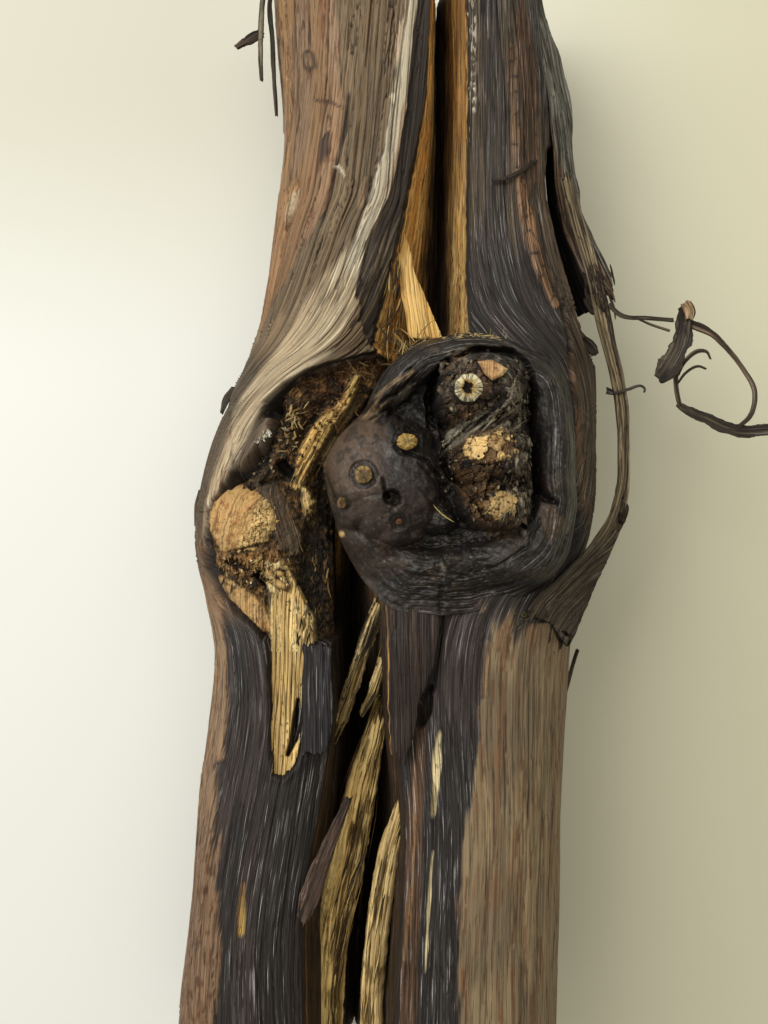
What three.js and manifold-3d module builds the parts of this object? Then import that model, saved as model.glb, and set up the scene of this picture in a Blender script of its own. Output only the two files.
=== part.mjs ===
// A length of old grapevine trunk, sawn off at both ends and lying on its back. Two limbs are
// split apart along the front. A burl of healed pruning knobs bridges the split, an open wound
// with an old stub sits on the left limb, and strips of bark have peeled away.
// Millimetres. +Y runs from the butt to the tip, +X to the right and +Z up, away from the ground.
import * as THREE from "three";
import { mergeVertices } from "three/addons/utils/BufferGeometryUtils.js";
import Module from "manifold-3d";

const wasm = await Module();
wasm.setup();

// Driving dimensions
const HALF_LENGTH = 128; // from the middle to each sawn end
const BUTT_LEFT = -47; // the left limb's outer side at the butt, the leftmost point
const TAIL_END = 88; // the tip of the loose bark on the right, the rightmost point
const CLEARANCE = 0.3; // air between two pieces that touch on the real trunk
const STATIONS = 44; // rings along a limb
const BARK_DEPTH = 1.8; // how far bare wood lies below the bark
const WOUND_DEPTH = 3.2; // how far the open wound lies below the bark
const SPLIT_FLOOR = 15; // height of the bottom of the split

// Each limb as rows of y, outer side, edge of the split, height
const LEFT_LIMB = {
  side: -1,
  rows: [
    [-128, BUTT_LEFT, -15.9, 62],
    [-112.6, -45.9, -16.3, 62],
    [-85.4, -42.7, -17.2, 61],
    [-63.4, -41.1, -14, 60],
    [-41.4, -38.7, -10.6, 58],
    [-30.4, -38.1, -11.3, 57],
    [-19.4, -40.4, -11.4, 56],
    [-8.4, -43.6, -11.4, 55],
    [2.6, -43.4, -12.4, 54],
    [13.6, -41, -9.8, 54],
    [24.6, -36.9, -4.7, 54],
    [35.6, -31.6, -2.1, 54],
    [46.6, -29, 0, 53],
    [68.6, -26, 4.7, 52],
    [90.6, -24.2, 9.3, 51],
    [112.6, -25.6, 10.4, 50],
    [128, -26.6, 10.9, 50],
  ],
};
const RIGHT_LIMB = {
  side: 1,
  rows: [
    [-128, 37.3, 2.4, 65],
    [-112.6, 38, 2.8, 65],
    [-85.4, 39, 3.6, 64],
    [-63.4, 39.5, 4.3, 63],
    [-41.4, 41, 2.4, 62],
    [-30.4, 41.8, 1.6, 62],
    [-19.4, 43.2, 0.8, 62],
    [-8.4, 45.6, -0.4, 63],
    [2.6, 47.4, 0, 63],
    [13.6, 47.6, 4.1, 63],
    [24.6, 47.6, 11.4, 62],
    [35.6, 46.2, 17.7, 60],
    [46.6, 42.9, 18, 57],
    [57.6, 40.7, 18.2, 55],
    [68.6, 39.1, 18.3, 54],
    [90.6, 38.2, 18.4, 53],
    [112.6, 36.2, 18.5, 52],
    [128, 34.4, 18.5, 52],
  ],
};
// The line where the limbs meet below the split, as rows of y, x
const SEAM = [
  [-128, -7.5],
  [-112.6, -6.8],
  [-85.4, -4.5],
  [-63.4, -4.8],
  [-41.4, -7.8],
  [-8.4, -8],
  [2.6, -6.5],
  [13.6, -2.3],
  [24.6, 4.5],
  [35.6, 10.3],
  [46.6, 13],
  [128, 13.3],
];

const COLOURS = {
  bark: 0x3b3133,
  weathered_bark: 0x8a735c,
  wood: 0xc49a58,
  old_wood: 0x5a4128,
};
const ROUGHNESS = { bark: 0.75, weathered_bark: 0.9, wood: 0.7, old_wood: 0.95 };

const vector = ([x, y, z]) => new THREE.Vector3(x, y, z);

// The curve through rows of [y, value, ...] as a function of y, with the rows in rising order.
function track(rows, column) {
  const last = rows.length - 1;
  const slopeAt = (i) => {
    const before = rows[Math.max(i - 1, 0)];
    const after = rows[Math.min(i + 1, last)];
    return (after[column] - before[column]) / (after[0] - before[0]);
  };
  return (y) => {
    let i = 0;
    while (i < last - 1 && y > rows[i + 1][0]) i++;
    const span = rows[i + 1][0] - rows[i][0];
    const t = THREE.MathUtils.clamp((y - rows[i][0]) / span, 0, 1);
    const ease = t * t * (3 - 2 * t);
    const value = rows[i][column] * (1 - ease) + rows[i + 1][column] * ease;
    const rise = slopeAt(i) * t * (1 - t) ** 2 - slopeAt(i + 1) * t * t * (1 - t);
    return value + rise * span;
  };
}

const seamAt = track(SEAM, 1);

// A quarter of a superellipse from its top (or bottom) round to its side.
function quarterArc(centre, rx, rz, power, steps) {
  return Array.from({ length: steps }, (_, i) => {
    const angle = ((i + 1) / steps) * (Math.PI / 2);
    return [
      centre[0] + rx * Math.sin(angle) ** (2 / power),
      centre[1] + rz * Math.max(Math.cos(angle), 0) ** (2 / power),
    ];
  });
}

// A limb's outline at one y, as [x, z] points: over the crest from the split's edge, round the
// outer side, along the ground to the seam and up the wall of the split.
function limbOutline(limb, y) {
  const crestShare = 0.4;
  const edgeDrop = 4.5;
  const bellyShare = 0.52;
  const restShare = 0.45;
  const seamLift = 1.2;
  const outer = limb.outer(y);
  const inner = limb.inner(y);
  const top = limb.top(y);
  const seam = seamAt(y) + (limb.side * CLEARANCE) / 2;
  const crest = inner + (outer - inner) * crestShare;
  const belly = top * bellyShare;
  const rest = seam + (outer - seam) * restShare;
  const points = [];
  const overCrest = 4;
  for (let i = 0; i <= overCrest; i++) {
    const away = 1 - i / overCrest;
    points.push([crest + (inner - crest) * away, top - edgeDrop * away * away]);
  }
  points.push(...quarterArc([crest, belly], outer - crest, top - belly, 2.2, 8));
  const under = quarterArc([rest, belly], outer - rest, -belly, 2.5, 6);
  points.push(...under.slice(0, -1).reverse(), [rest, 0]);
  for (const share of [0.5, 1]) {
    points.push([rest + (seam - rest) * share, seamLift * share ** 3]);
  }
  const wallSteps = 3;
  for (let i = 0; i < wallSteps; i++) {
    const up = i / wallSteps;
    const edge = top - edgeDrop;
    points.push([
      seam + (inner - seam) * up,
      SPLIT_FLOOR + (edge - SPLIT_FLOOR) * up,
    ]);
  }
  return points;
}

// The outline moved outwards by a distance, or inwards where it is negative.
function moveOutline(points, distance, side) {
  return points.map(([x, z], i) => {
    const before = points.at(i - 1);
    const after = points[(i + 1) % points.length];
    const along = new THREE.Vector2(after[0] - before[0], after[1] - before[1]);
    along.normalize();
    return [x - along.y * distance * side, z + along.x * distance * side];
  });
}

// A closed solid through rings of points with the same count, capped at both ends.
function loft(rings) {
  const count = rings[0].length;
  const points = rings.flat();
  const faces = [];
  for (let r = 0; r < rings.length - 1; r++) {
    for (let i = 0; i < count; i++) {
      const a = r * count + i;
      const b = r * count + ((i + 1) % count);
      faces.push(a, b, a + count, b, b + count, a + count);
    }
  }
  [rings[0], rings.at(-1)].forEach((ring, end) => {
    const middle = ring.reduce((sum, p) => sum.add(p), new THREE.Vector3());
    points.push(middle.divideScalar(count));
    const base = end * (rings.length - 1) * count;
    for (let i = 0; i < count; i++) {
      const pair = [base + i, base + ((i + 1) % count)];
      faces.push(points.length - 1, ...(end ? pair : pair.reverse()));
    }
  });
  const geometry = new THREE.BufferGeometry().setFromPoints(points);
  geometry.setIndex(faces);
  return solidOf(geometry);
}

// A closed geometry as a solid that faces out.
function solidOf(geometry) {
  const bare = geometry.clone();
  bare.deleteAttribute("normal");
  bare.deleteAttribute("uv");
  const merged = mergeVertices(bare, 1e-4);
  const make = (triVerts) =>
    new wasm.Manifold(
      new wasm.Mesh({
        numProp: 3,
        vertProperties: merged.attributes.position.array,
        triVerts,
      }),
    );
  const triVerts = new Uint32Array(merged.index.array);
  const solid = make(triVerts);
  return solid.volume() > 0 ? solid : make(triVerts.toReversed());
}

function geometryOf(solid) {
  const { numProp, numVert, vertProperties, triVerts } = solid.getMesh();
  const position = new Float32Array(numVert * 3);
  for (let i = 0; i < numVert; i++) {
    const start = i * numProp;
    position.set(vertProperties.subarray(start, start + 3), i * 3);
  }
  const geometry = new THREE.BufferGeometry();
  geometry.setAttribute("position", new THREE.BufferAttribute(position, 3));
  geometry.setIndex(new THREE.BufferAttribute(triVerts, 1));
  return geometry.toNonIndexed();
}

function limbSolid(limb, grow) {
  const reach = HALF_LENGTH + Math.max(grow, 0);
  const rings = Array.from({ length: STATIONS + 1 }, (_, i) => {
    const y = reach * (-1 + (2 * i) / STATIONS);
    const outline = limbOutline(limb, THREE.MathUtils.clamp(y, -HALF_LENGTH, HALF_LENGTH));
    return moveOutline(outline, grow, limb.side).map(([x, z]) => vector([x, y, z]));
  });
  return loft(rings);
}

// An ellipsoid, turned about Z.
function knobSolid({ centre, radii, turn = 0, detail = 16 }, grow) {
  const rows = Math.round(detail * 0.65);
  const ball = new THREE.SphereGeometry(1, detail, rows).toNonIndexed();
  ball.scale(...radii.map((r) => r + grow));
  ball.rotateZ(THREE.MathUtils.degToRad(turn));
  ball.translate(...centre);
  return solidOf(ball);
}

// A short round or three-sided peg. It stands along `axis`, and `foot` is the middle of its base.
function stubSolid({ foot, axis, radius, height, sides = 12 }, grow) {
  const peg = new THREE.CylinderGeometry(
    radius * 0.9 + grow,
    radius + grow,
    height + 2 * grow,
    sides,
  ).toNonIndexed();
  peg.translate(0, height / 2, 0);
  const direction = vector(axis).normalize();
  peg.applyQuaternion(
    new THREE.Quaternion().setFromUnitVectors(new THREE.Vector3(0, 1, 0), direction),
  );
  peg.translate(...foot);
  return solidOf(peg);
}

// A strip or strand along a smooth path. Each point is x, y, z, width, and `face` is the way
// that the strip's broad side looks. With `sides` it is round or oval in place of flat.
function stripSolid({ points, thickness, face = [0, 0, 1], steps = 14, sides = 4 }, grow) {
  const curve = new THREE.CatmullRomCurve3(points.map(vector), false, "centripetal");
  const widths = track(
    points.map((p, i) => [i, p[3]]),
    1,
  );
  const turn = sides === 4 ? Math.PI / 4 : 0;
  const reach = sides === 4 ? Math.SQRT1_2 : 0.5;
  const rings = Array.from({ length: steps + 1 }, (_, i) => {
    const share = i / steps;
    const centre = curve.getPoint(share);
    const along = curve.getTangent(share);
    const across = new THREE.Vector3().crossVectors(along, vector(face)).normalize();
    const proud = new THREE.Vector3().crossVectors(across, along);
    const end = i === 0 ? -1 : i === steps ? 1 : 0;
    centre.addScaledVector(along, end * grow);
    const halfWidth = widths(share * (points.length - 1)) * reach + grow;
    const halfDepth = thickness * reach + grow;
    return Array.from({ length: sides }, (_, j) => {
      const angle = turn + (j / sides) * 2 * Math.PI;
      return centre
        .clone()
        .addScaledVector(across, Math.cos(angle) * halfWidth)
        .addScaledVector(proud, Math.sin(angle) * halfDepth);
    });
  });
  return loft(rings);
}

// Everything above (or below) an outline of x, y corners, between two heights.
function columnSolid(corners, from, to) {
  const shape = new THREE.Shape(corners.map(([x, y]) => new THREE.Vector2(x, y)));
  const column = new THREE.ExtrudeGeometry(shape, {
    depth: to - from,
    bevelEnabled: false,
  });
  column.translate(0, 0, from);
  return solidOf(column);
}

for (const limb of [LEFT_LIMB, RIGHT_LIMB]) {
  limb.outer = track(limb.rows, 1);
  limb.inner = track(limb.rows, 2);
  limb.top = track(limb.rows, 3);
}

// The open wound on the left limb: bark missing inside an outline, and a hollow rotted deeper
const WOUND = {
  outline: [
    [-2, 33.5],
    [-11, 32],
    [-21, 28.5],
    [-28.5, 21.5],
    [-34.5, 12],
    [-37.8, 2.5],
    [-38.4, -6],
    [-36, -14],
    [-30.5, -19.5],
    [-25.5, -25],
    [-24.5, -28],
    [-8, -28],
    [-8, 12],
    [-2, 26],
  ],
  hollow: { centre: [-19.5, 17.5, 54.5], radii: [20, 8.5, 9.5], turn: 44 },
};
// The strip of wood laid bare below the wound, and the gap in the bark round it
const BARE_WOOD = {
  points: [
    [-21, -28.6, 53.6, 7.4],
    [-21, -38, 54.2, 8],
    [-20.8, -47, 54.8, 7.6],
    [-20.6, -55, 55.2, 5.4],
  ],
  thickness: 4,
  steps: 8,
};
const BARE_GAP = [
  [-25.4, -27],
  [-25.4, -56.4],
  [-20, -57],
  [-16.6, -50],
  [-16.2, -27],
];

function leftLimbSolid(grow) {
  const floor = 34;
  const sky = 80;
  const limb = limbSolid(LEFT_LIMB, grow);
  const wound = columnSolid(WOUND.outline, floor, sky);
  const gap = columnSolid(BARE_GAP, floor, sky);
  return limb
    .subtract(wound.subtract(limbSolid(LEFT_LIMB, grow - WOUND_DEPTH)))
    .subtract(gap.subtract(limbSolid(LEFT_LIMB, grow - BARK_DEPTH)))
    .subtract(knobSolid(WOUND.hollow, -grow));
}

const KNOBS = {
  knob_left: { centre: [0.2, 6.4, 63], radii: [10.8, 12, 13.5], turn: 20 },
  knob_upper: { centre: [18.4, 23.2, 69], radii: [7.6, 7.4, 11], turn: 0 },
  knob_middle: { centre: [19.8, 10.7, 69], radii: [7, 6.6, 11], turn: 15 },
  knob_lower: { centre: [21, 1.6, 67.5], radii: [5.9, 4.8, 10.5], turn: -10 },
  knob_small_left: { centre: [-5.6, 0.6, 62.5], radii: [4.4, 4.2, 8], detail: 14 },
  knob_small_right: { centre: [2, -2.8, 63], radii: [5.2, 4.6, 9], detail: 14 },
};
const BURL = { centre: [12.2, 6, 47], radii: [23.2, 25, 25.5], detail: 28 };
const COLLAR = {
  points: [
    [-0.8, 22.5, 64, 4],
    [5, 28.4, 65.5, 5.6],
    [13.6, 31.2, 66, 6.4],
    [23.2, 30.4, 66, 6.4],
    [30.6, 24.2, 66, 5.6],
    [33.6, 13.8, 66, 5.4],
    [33.2, 2.3, 66, 6],
    [28.8, -7, 66, 8],
    [20.4, -12.6, 66, 10],
    [10.8, -14.2, 66, 11],
    [1.4, -12, 65, 10],
    [-6.3, -6.9, 63.5, 7.6],
    [-10, 1.3, 62, 4.6],
  ],
  thickness: 8,
  steps: 34,
  sides: 8,
};
// The pruned shoots that stand on the knobs
const STUBS = {
  stub_ring: { foot: [15, 22.2, 77.2], axis: [-0.15, 0, 1], radius: 2.4, height: 3.6 },
  stub_high: { foot: [4.2, 13.3, 73], axis: [0.2, 0.2, 1], radius: 1.9, height: 2.9 },
  stub_low: { foot: [-3.5, 7.1, 73.2], axis: [-0.1, 0, 1], radius: 1.9, height: 3 },
  stub_side: { foot: [-7.9, 2, 67], axis: [-0.4, 0, 1], radius: 1.3, height: 3.6 },
  stub_foot: { foot: [1.7, -2.8, 70.8], axis: [0, 0, 1], radius: 1, height: 1.8, sides: 8 },
  bud_chip: { foot: [19.1, 25.4, 77], axis: [0.2, 0.2, 1], radius: 2.6, height: 2.6, sides: 3 },
};
const OLD_STUB = { centre: [-30.8, -3.2, 43.2], radii: [9.2, 10, 10.6], detail: 22 };
const WOUND_WOOD = { centre: [-19.4, -6.5, 45], radii: [5.4, 15, 8.6], turn: 6 };
const WOUND_RIDGE = {
  points: [
    [-2.6, 29.6, 47, 2.4],
    [-8.4, 22.6, 48, 4],
    [-12.4, 16, 48.5, 4.6],
    [-15.2, 8.4, 49, 4.4],
    [-15.4, 1.4, 50, 3.6],
    [-13.6, -6.6, 51, 2.6],
  ],
  thickness: 5,
  sides: 6,
};

// Flaps of bark that lie over the split, below the burl and beside the bare wood
const FLAPS = {
  bark_tongue_right: {
    points: [
      [6, -17.5, 64.2, 10.4],
      [6, -26, 63.6, 10.4],
      [5.4, -36, 63.4, 8.6],
      [3.6, -44, 63, 6],
      [2.4, -49.5, 62.6, 3.4],
    ],
    thickness: 1.4,
    face: [-0.12, 0, 1],
  },
  bark_tongue_left: {
    points: [
      [-13.6, -26.6, 58.6, 5],
      [-13.2, -34, 59.3, 6.4],
      [-13.4, -42, 59.8, 6.6],
      [-14.6, -49, 60.4, 3.4],
    ],
    thickness: 1.3,
    face: [0.12, 0, 1],
    steps: 8,
  },
  bark_sliver: {
    points: [
      [-7, -58.4, 55.6, 1.4],
      [-11.4, -69, 55.6, 3.2],
      [-15.2, -78.6, 57.8, 4.4],
      [-17, -83, 60, 1.6],
    ],
    thickness: 1,
    face: [0.5, 0, 1],
    steps: 8,
  },
};
// Splinters of wood that stand in the split
const SPLINTERS = {
  splinter_upper: {
    points: [
      [2.9, 53, 43.5, 1.6],
      [4.4, 46.6, 44.5, 3.2],
      [6.8, 40, 46, 5.2],
      [9.4, 34, 47, 7],
    ],
    thickness: 2.6,
    face: [0.3, 0, 1],
    steps: 8,
  },
  splinter_a: {
    points: [
      [-0.2, -18.4, 46, 3],
      [-4.6, -30.4, 46.5, 3.2],
      [-8.8, -43.2, 47, 3],
      [-10.9, -50, 46, 1.6],
    ],
    thickness: 2.2,
    face: [0.2, 0, 1],
    steps: 8,
  },
  splinter_b: {
    points: [
      [0.6, -29.2, 48, 2.2],
      [-2.2, -38, 49, 2.2],
      [-4.8, -43.4, 48.6, 1.2],
    ],
    thickness: 1.8,
    steps: 6,
  },
  splinter_main: {
    points: [
      [-0.3, -40.4, 43.6, 2.4],
      [-2.8, -51.4, 44.4, 4.8],
      [-5.8, -64.4, 45, 7.4],
      [-8.4, -77.2, 45, 8],
      [-11, -89.8, 44, 7.6],
      [-12.4, -105, 43, 7.2],
      [-12.8, -130, 42.6, 7.2],
    ],
    thickness: 4.4,
    face: [0.35, 0, 1],
    steps: 18,
    sides: 6,
  },
  splinter_right: {
    points: [
      [5.6, -52.6, 52, 1.2],
      [4, -61.4, 51, 2.6],
      [1.2, -72, 50, 4.6],
      [-0.6, -83, 49, 5],
      [-1.8, -94, 48, 5],
      [-2.6, -106, 47, 5],
      [-2.8, -130, 47, 5],
    ],
    thickness: 4,
    face: [-0.3, 0, 1],
    steps: 18,
    sides: 6,
  },
};
// Bark that has peeled away from the outside, and its loose curls
const PEELS = {
  bark_plate: {
    points: [
      [38.7, 101.2, 44, 7.5],
      [40, 91.1, 44, 7.9],
      [41.2, 79.8, 43.6, 7.9],
      [42.6, 68.9, 43.4, 7.5],
      [45.2, 58.9, 43.4, 6.2],
      [47.8, 50.7, 43.6, 3.7],
      [50.2, 45.8, 44, 1.1],
    ],
    thickness: 1.6,
    face: [1, 0.1, 0.55],
  },
  bark_bow: {
    points: [
      [36.7, 73.9, 49.6, 2.1],
      [40.5, 63.9, 48.8, 3],
      [43.8, 53.9, 47.8, 3.7],
      [46.4, 44.2, 46.8, 3.7],
      [48.6, 37.8, 46.5, 3.7],
      [50.5, 31.6, 46, 3.3],
      [52.2, 25.2, 45, 2.8],
      [52.9, 18.9, 44.4, 2.7],
      [53.2, 12.5, 44, 2.6],
      [53.2, 7.3, 44, 2.6],
      [52.6, 1.5, 44.4, 2.6],
      [51.4, -1.8, 45, 3.1],
      [49.8, -5, 46, 3.9],
      [47.5, -8.2, 47.6, 5.4],
      [44.5, -11.1, 49.4, 6.8],
      [41, -14.1, 51.6, 8],
      [37.1, -17.3, 54, 7.9],
      [33.1, -20.1, 56.4, 6.2],
    ],
    thickness: 1.5,
    face: [0.5, -0.1, 1],
    steps: 34,
  },
  curl_stem: {
    points: [
      [49, 45.6, 45, 1],
      [52.2, 42.8, 45.4, 1],
      [57.6, 42.3, 45.6, 0.9],
      [63.4, 41.8, 45.6, 0.9],
    ],
    thickness: 0.9,
    steps: 8,
    sides: 6,
  },
  curl_plate: {
    points: [
      [65.3, 45.3, 46, 2],
      [65.3, 40.5, 46, 3.5],
      [64.4, 35.8, 45.6, 4.4],
      [62.1, 31.5, 45, 4.4],
      [59.5, 27.4, 44.4, 1.5],
    ],
    thickness: 0.9,
    face: [-0.3, 0.1, 1],
    steps: 10,
  },
  curl_loop: {
    points: [
      [67.2, 40.9, 46, 1.5],
      [69.4, 39.9, 46, 1.6],
      [72.2, 38.4, 45.6, 1.2],
      [76.1, 34.5, 45.2, 1.1],
      [79.1, 30.7, 44.8, 1.1],
      [81.2, 27.2, 44.4, 1.2],
      [81.5, 23.8, 44, 1.2],
      [80.8, 21, 43.4, 1.1],
      [79.4, 19.7, 42.7, 1],
    ],
    thickness: 0.9,
    steps: 18,
    sides: 6,
  },
  curl_drop: {
    points: [
      [64.3, 31, 44.4, 1.1],
      [64.4, 27.3, 43.8, 1],
      [65.4, 24, 43.3, 1],
    ],
    thickness: 0.9,
    steps: 5,
    sides: 6,
  },
  curl_tail: {
    points: [
      [64.7, 24.2, 42.4, 1.3],
      [68.4, 22, 42.2, 2.2],
      [71.8, 20.7, 42, 2.4],
      [75.7, 18.9, 41.8, 2.7],
      [79.8, 18, 41.6, 2.7],
      [85.6, 18.3, 41.6, 2.5],
      [TAIL_END, 18.6, 41.6, 2],
    ],
    thickness: 1.1,
    steps: 12,
  },
  shred_dark: {
    points: [
      [-24, 126.6, 32, 1.8],
      [-26.4, 118.6, 34, 1.8],
      [-25.8, 109.3, 34.4, 1.9],
      [-25.4, 100, 34.2, 1.6],
      [-24.9, 91.7, 33.6, 0.9],
    ],
    thickness: 0.8,
    face: [-1, 0, 0.6],
    steps: 8,
  },
  shred_pale: {
    points: [
      [-24.6, 126.8, 35, 1.4],
      [-27.6, 118.6, 36, 1.4],
      [-28.2, 111.6, 36, 1.4],
      [-28.4, 105, 35.6, 1.2],
      [-28.2, 99, 35, 0.8],
    ],
    thickness: 0.7,
    face: [-0.4, 0, 1],
    steps: 8,
  },
  shred_chip: {
    points: [
      [-27.6, 110.8, 34.6, 2],
      [-30.8, 109.6, 34.2, 2.2],
      [-34.6, 107.6, 33.6, 1],
    ],
    thickness: 0.8,
    steps: 6,
  },
  side_twig: {
    points: [
      [43.6, -30.6, 40, 0.8],
      [42.5, -35, 39, 0.9],
      [41.4, -40, 38, 0.9],
      [40.2, -46, 36.4, 0.9],
      [38.4, -49.4, 35, 0.9],
    ],
    thickness: 0.9,
    steps: 6,
    sides: 6,
  },
};

// The pieces in order: each one is cut clear of those before it.
const knobPieces = (specs, slot) =>
  Object.entries(specs).map(([name, spec]) => [name, slot, (grow) => knobSolid(spec, grow)]);
const stripPieces = (specs, slot) =>
  Object.entries(specs).map(([name, spec]) => [name, slot, (grow) => stripSolid(spec, grow)]);
const PIECES = [
  ["old_stub", "wood", (grow) => knobSolid(OLD_STUB, grow)],
  ["bare_wood", "wood", (grow) => stripSolid(BARE_WOOD, grow)],
  ["left_limb", "bark", leftLimbSolid],
  ["right_limb", "bark", (grow) => limbSolid(RIGHT_LIMB, grow)],
  ...Object.entries(STUBS).map(([name, spec]) => [
    name,
    "wood",
    (grow) => stubSolid(spec, grow),
  ]),
  ...knobPieces(KNOBS, "bark"),
  ["burl_collar", "bark", (grow) => stripSolid(COLLAR, grow)],
  ["burl_base", "bark", (grow) => knobSolid(BURL, grow)],
  ["wound_ridge", "old_wood", (grow) => stripSolid(WOUND_RIDGE, grow)],
  ["wound_wood", "old_wood", (grow) => knobSolid(WOUND_WOOD, grow)],
  ...stripPieces(FLAPS, "bark"),
  ...stripPieces(SPLINTERS, "wood"),
  ...stripPieces(PEELS, "weathered_bark"),
];

const sawnLength = columnSolid(
  [
    [-100, -HALF_LENGTH],
    [100, -HALF_LENGTH],
    [100, HALF_LENGTH],
    [-100, HALF_LENGTH],
  ],
  -1,
  120,
);

function bodiesMeet(a, b) {
  const [p, q] = [a.boundingBox(), b.boundingBox()];
  return [0, 1, 2].every((i) => p.min[i] <= q.max[i] && q.min[i] <= p.max[i]);
}

const trunk = new THREE.Group();
trunk.name = "grapevine_trunk";
trunk.position.x = -(BUTT_LEFT + TAIL_END) / 2; // centres the trunk and its loose bark on X
const placed = [];
for (const [name, slot, make] of PIECES) {
  let solid = make(0);
  for (const earlier of placed) {
    if (bodiesMeet(solid, earlier)) solid = solid.subtract(earlier);
  }
  solid = solid.intersect(sawnLength);
  const bodies = solid.decompose().sort((a, b) => b.volume() - a.volume());
  const material = new THREE.MeshStandardMaterial({
    color: COLOURS[slot],
    roughness: ROUGHNESS[slot],
    metalness: 0,
  });
  const mesh = new THREE.Mesh(geometryOf(bodies[0]), material);
  mesh.name = name;
  trunk.add(mesh);
  placed.push(make(CLEARANCE));
}

export default trunk;
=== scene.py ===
import math
import bpy
import numpy as np
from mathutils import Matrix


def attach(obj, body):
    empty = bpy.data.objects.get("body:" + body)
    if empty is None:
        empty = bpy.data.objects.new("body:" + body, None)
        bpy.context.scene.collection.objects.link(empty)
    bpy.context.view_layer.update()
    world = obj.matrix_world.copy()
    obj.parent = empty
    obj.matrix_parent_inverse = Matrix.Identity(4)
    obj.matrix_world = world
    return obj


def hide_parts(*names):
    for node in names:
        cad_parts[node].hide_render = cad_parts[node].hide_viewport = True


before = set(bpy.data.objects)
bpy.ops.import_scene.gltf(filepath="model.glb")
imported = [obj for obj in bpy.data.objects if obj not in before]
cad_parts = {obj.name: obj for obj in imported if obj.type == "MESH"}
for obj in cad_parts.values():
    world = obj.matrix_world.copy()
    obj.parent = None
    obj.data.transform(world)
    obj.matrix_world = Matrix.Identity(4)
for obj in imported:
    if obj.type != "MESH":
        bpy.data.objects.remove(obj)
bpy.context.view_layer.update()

# A length of old grapevine trunk on a pale bench, seen from above. Sizes are in millimetres from
# the trunk's own middle line, and the meshes are written in metres round the model's origin.
originShift = -20.5  # the middle line's place on X
view = {
    "height": 233.0,  # the camera above the bench
    "longSide": 61.6,  # degrees along the photograph's long side
    "mmPerPixel": 0.22,
    "atHeight": 44.0,  # where a pixel spans that much
    "middle": (384.0, 512.0),
}
nearPixel = 0.21  # millimetres a pixel spans near the wound
sawnAt = 128.0  # the sawn ends on Y, both ways


# Numbers, noise and places

def stack(*parts):
    # numbers and grids side by side along a new last axis
    return np.stack(np.broadcast_arrays(*parts), axis=-1)


def smooth(low, high, x):
    # 0 below low, 1 above high, an S curve between
    t = np.clip((x - low) / (high - low), 0.0, 1.0)
    return t * t * (3.0 - 2.0 * t)


def track(rows, column, y):
    # the cubic through the rows' values, with each slope taken from the rows on either side
    rows = np.asarray(rows, float)
    at, value = rows[:, 0], rows[:, column]
    last = len(at) - 1
    before, after = np.maximum(np.arange(last + 1) - 1, 0), np.minimum(np.arange(last + 1) + 1, last)
    slope = (value[after] - value[before]) / (at[after] - at[before])
    i = np.clip(np.searchsorted(at, y, side="right") - 1, 0, last - 1)
    span = at[i + 1] - at[i]
    t = np.clip((y - at[i]) / span, 0.0, 1.0)
    eased = t * t * (3.0 - 2.0 * t)
    lift = slope[i] * t * (1 - t) ** 2 - slope[i + 1] * t * t * (1 - t)
    return value[i] * (1 - eased) + value[i + 1] * eased + lift * span


def hashed(i, j, seed):
    # a fixed random number 0..1 for each pair of whole numbers
    n = np.asarray(i, np.int64) * 374761393 + np.asarray(j, np.int64) * 668265263 + seed * 974634777
    n = (n ^ (n >> 13)) * 1274126177
    n = n ^ (n >> 16)
    return (n & 0xFFFFFF) / 16777215.0


def noise(x, y, seed=0):
    # value noise -1..1: random numbers on a unit grid, eased between the four corners
    x, y = np.broadcast_arrays(np.asarray(x, float), np.asarray(y, float))
    i, j = np.floor(x).astype(np.int64), np.floor(y).astype(np.int64)
    u, v = smooth(0, 1, x - i), smooth(0, 1, y - j)
    near = hashed(i, j, seed) * (1 - u) + hashed(i + 1, j, seed) * u
    far = hashed(i, j + 1, seed) * (1 - u) + hashed(i + 1, j + 1, seed) * u
    return 2.0 * (near * (1 - v) + far * v) - 1.0


def rough(x, y, octaves, seed=0):
    # noise on noise: each layer twice as fine and half as strong
    total = 0.0
    for layer in range(octaves):
        total = total + noise(x * 2.0 ** layer, y * 2.0 ** layer, seed + 17 * layer) / 2.0 ** layer
    return total / (2.0 - 2.0 ** (1 - octaves))


def strips(across, along, width, length, seed):
    # torn strips of bark: lanes that wander, cut at random places. Gives a random number for
    # each strip, and the distances in mm to its side and to its end
    lane = across / width + 0.5 * noise(along / length * 1.7, across / width * 0.3, seed)
    i = np.floor(lane)
    pace = length * (0.6 + 0.9 * hashed(i, 1, seed + 2))
    cell = along / pace + 7.0 * hashed(i, 2, seed + 1) + 0.05 * noise(across * 5.0, i, seed + 5)
    j = np.floor(cell)
    side = (0.5 - np.abs(lane - i - 0.5)) * width
    end = (0.5 - np.abs(cell - j - 0.5)) * pace
    return hashed(i, j, seed + 3), side, end


def cells(x, y, seed):
    # blocks round scattered centres: a random number for the nearest centre, and how much
    # farther the next one is, which is 0 on the cracks between blocks
    i, j = np.floor(x).astype(np.int64), np.floor(y).astype(np.int64)
    nearest, following, value = np.full(x.shape, 9.0), np.full(x.shape, 9.0), np.zeros(x.shape)
    for step in range(9):
        ci, cj = i + step % 3 - 1, j + step // 3 - 1
        far = np.hypot(ci + hashed(ci, cj, seed) - x, cj + hashed(ci, cj, seed + 1) - y)
        closer = far < nearest
        following = np.minimum(following, np.where(closer, nearest, far))
        value = np.where(closer, hashed(ci, cj, seed + 2), value)
        nearest = np.where(closer, far, nearest)
    return value, following - nearest


def pixelSpan(z):
    # the millimetres that a pixel of the photograph spans at a height
    return view["mmPerPixel"] * (view["height"] - z) / (view["height"] - view["atHeight"])


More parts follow.
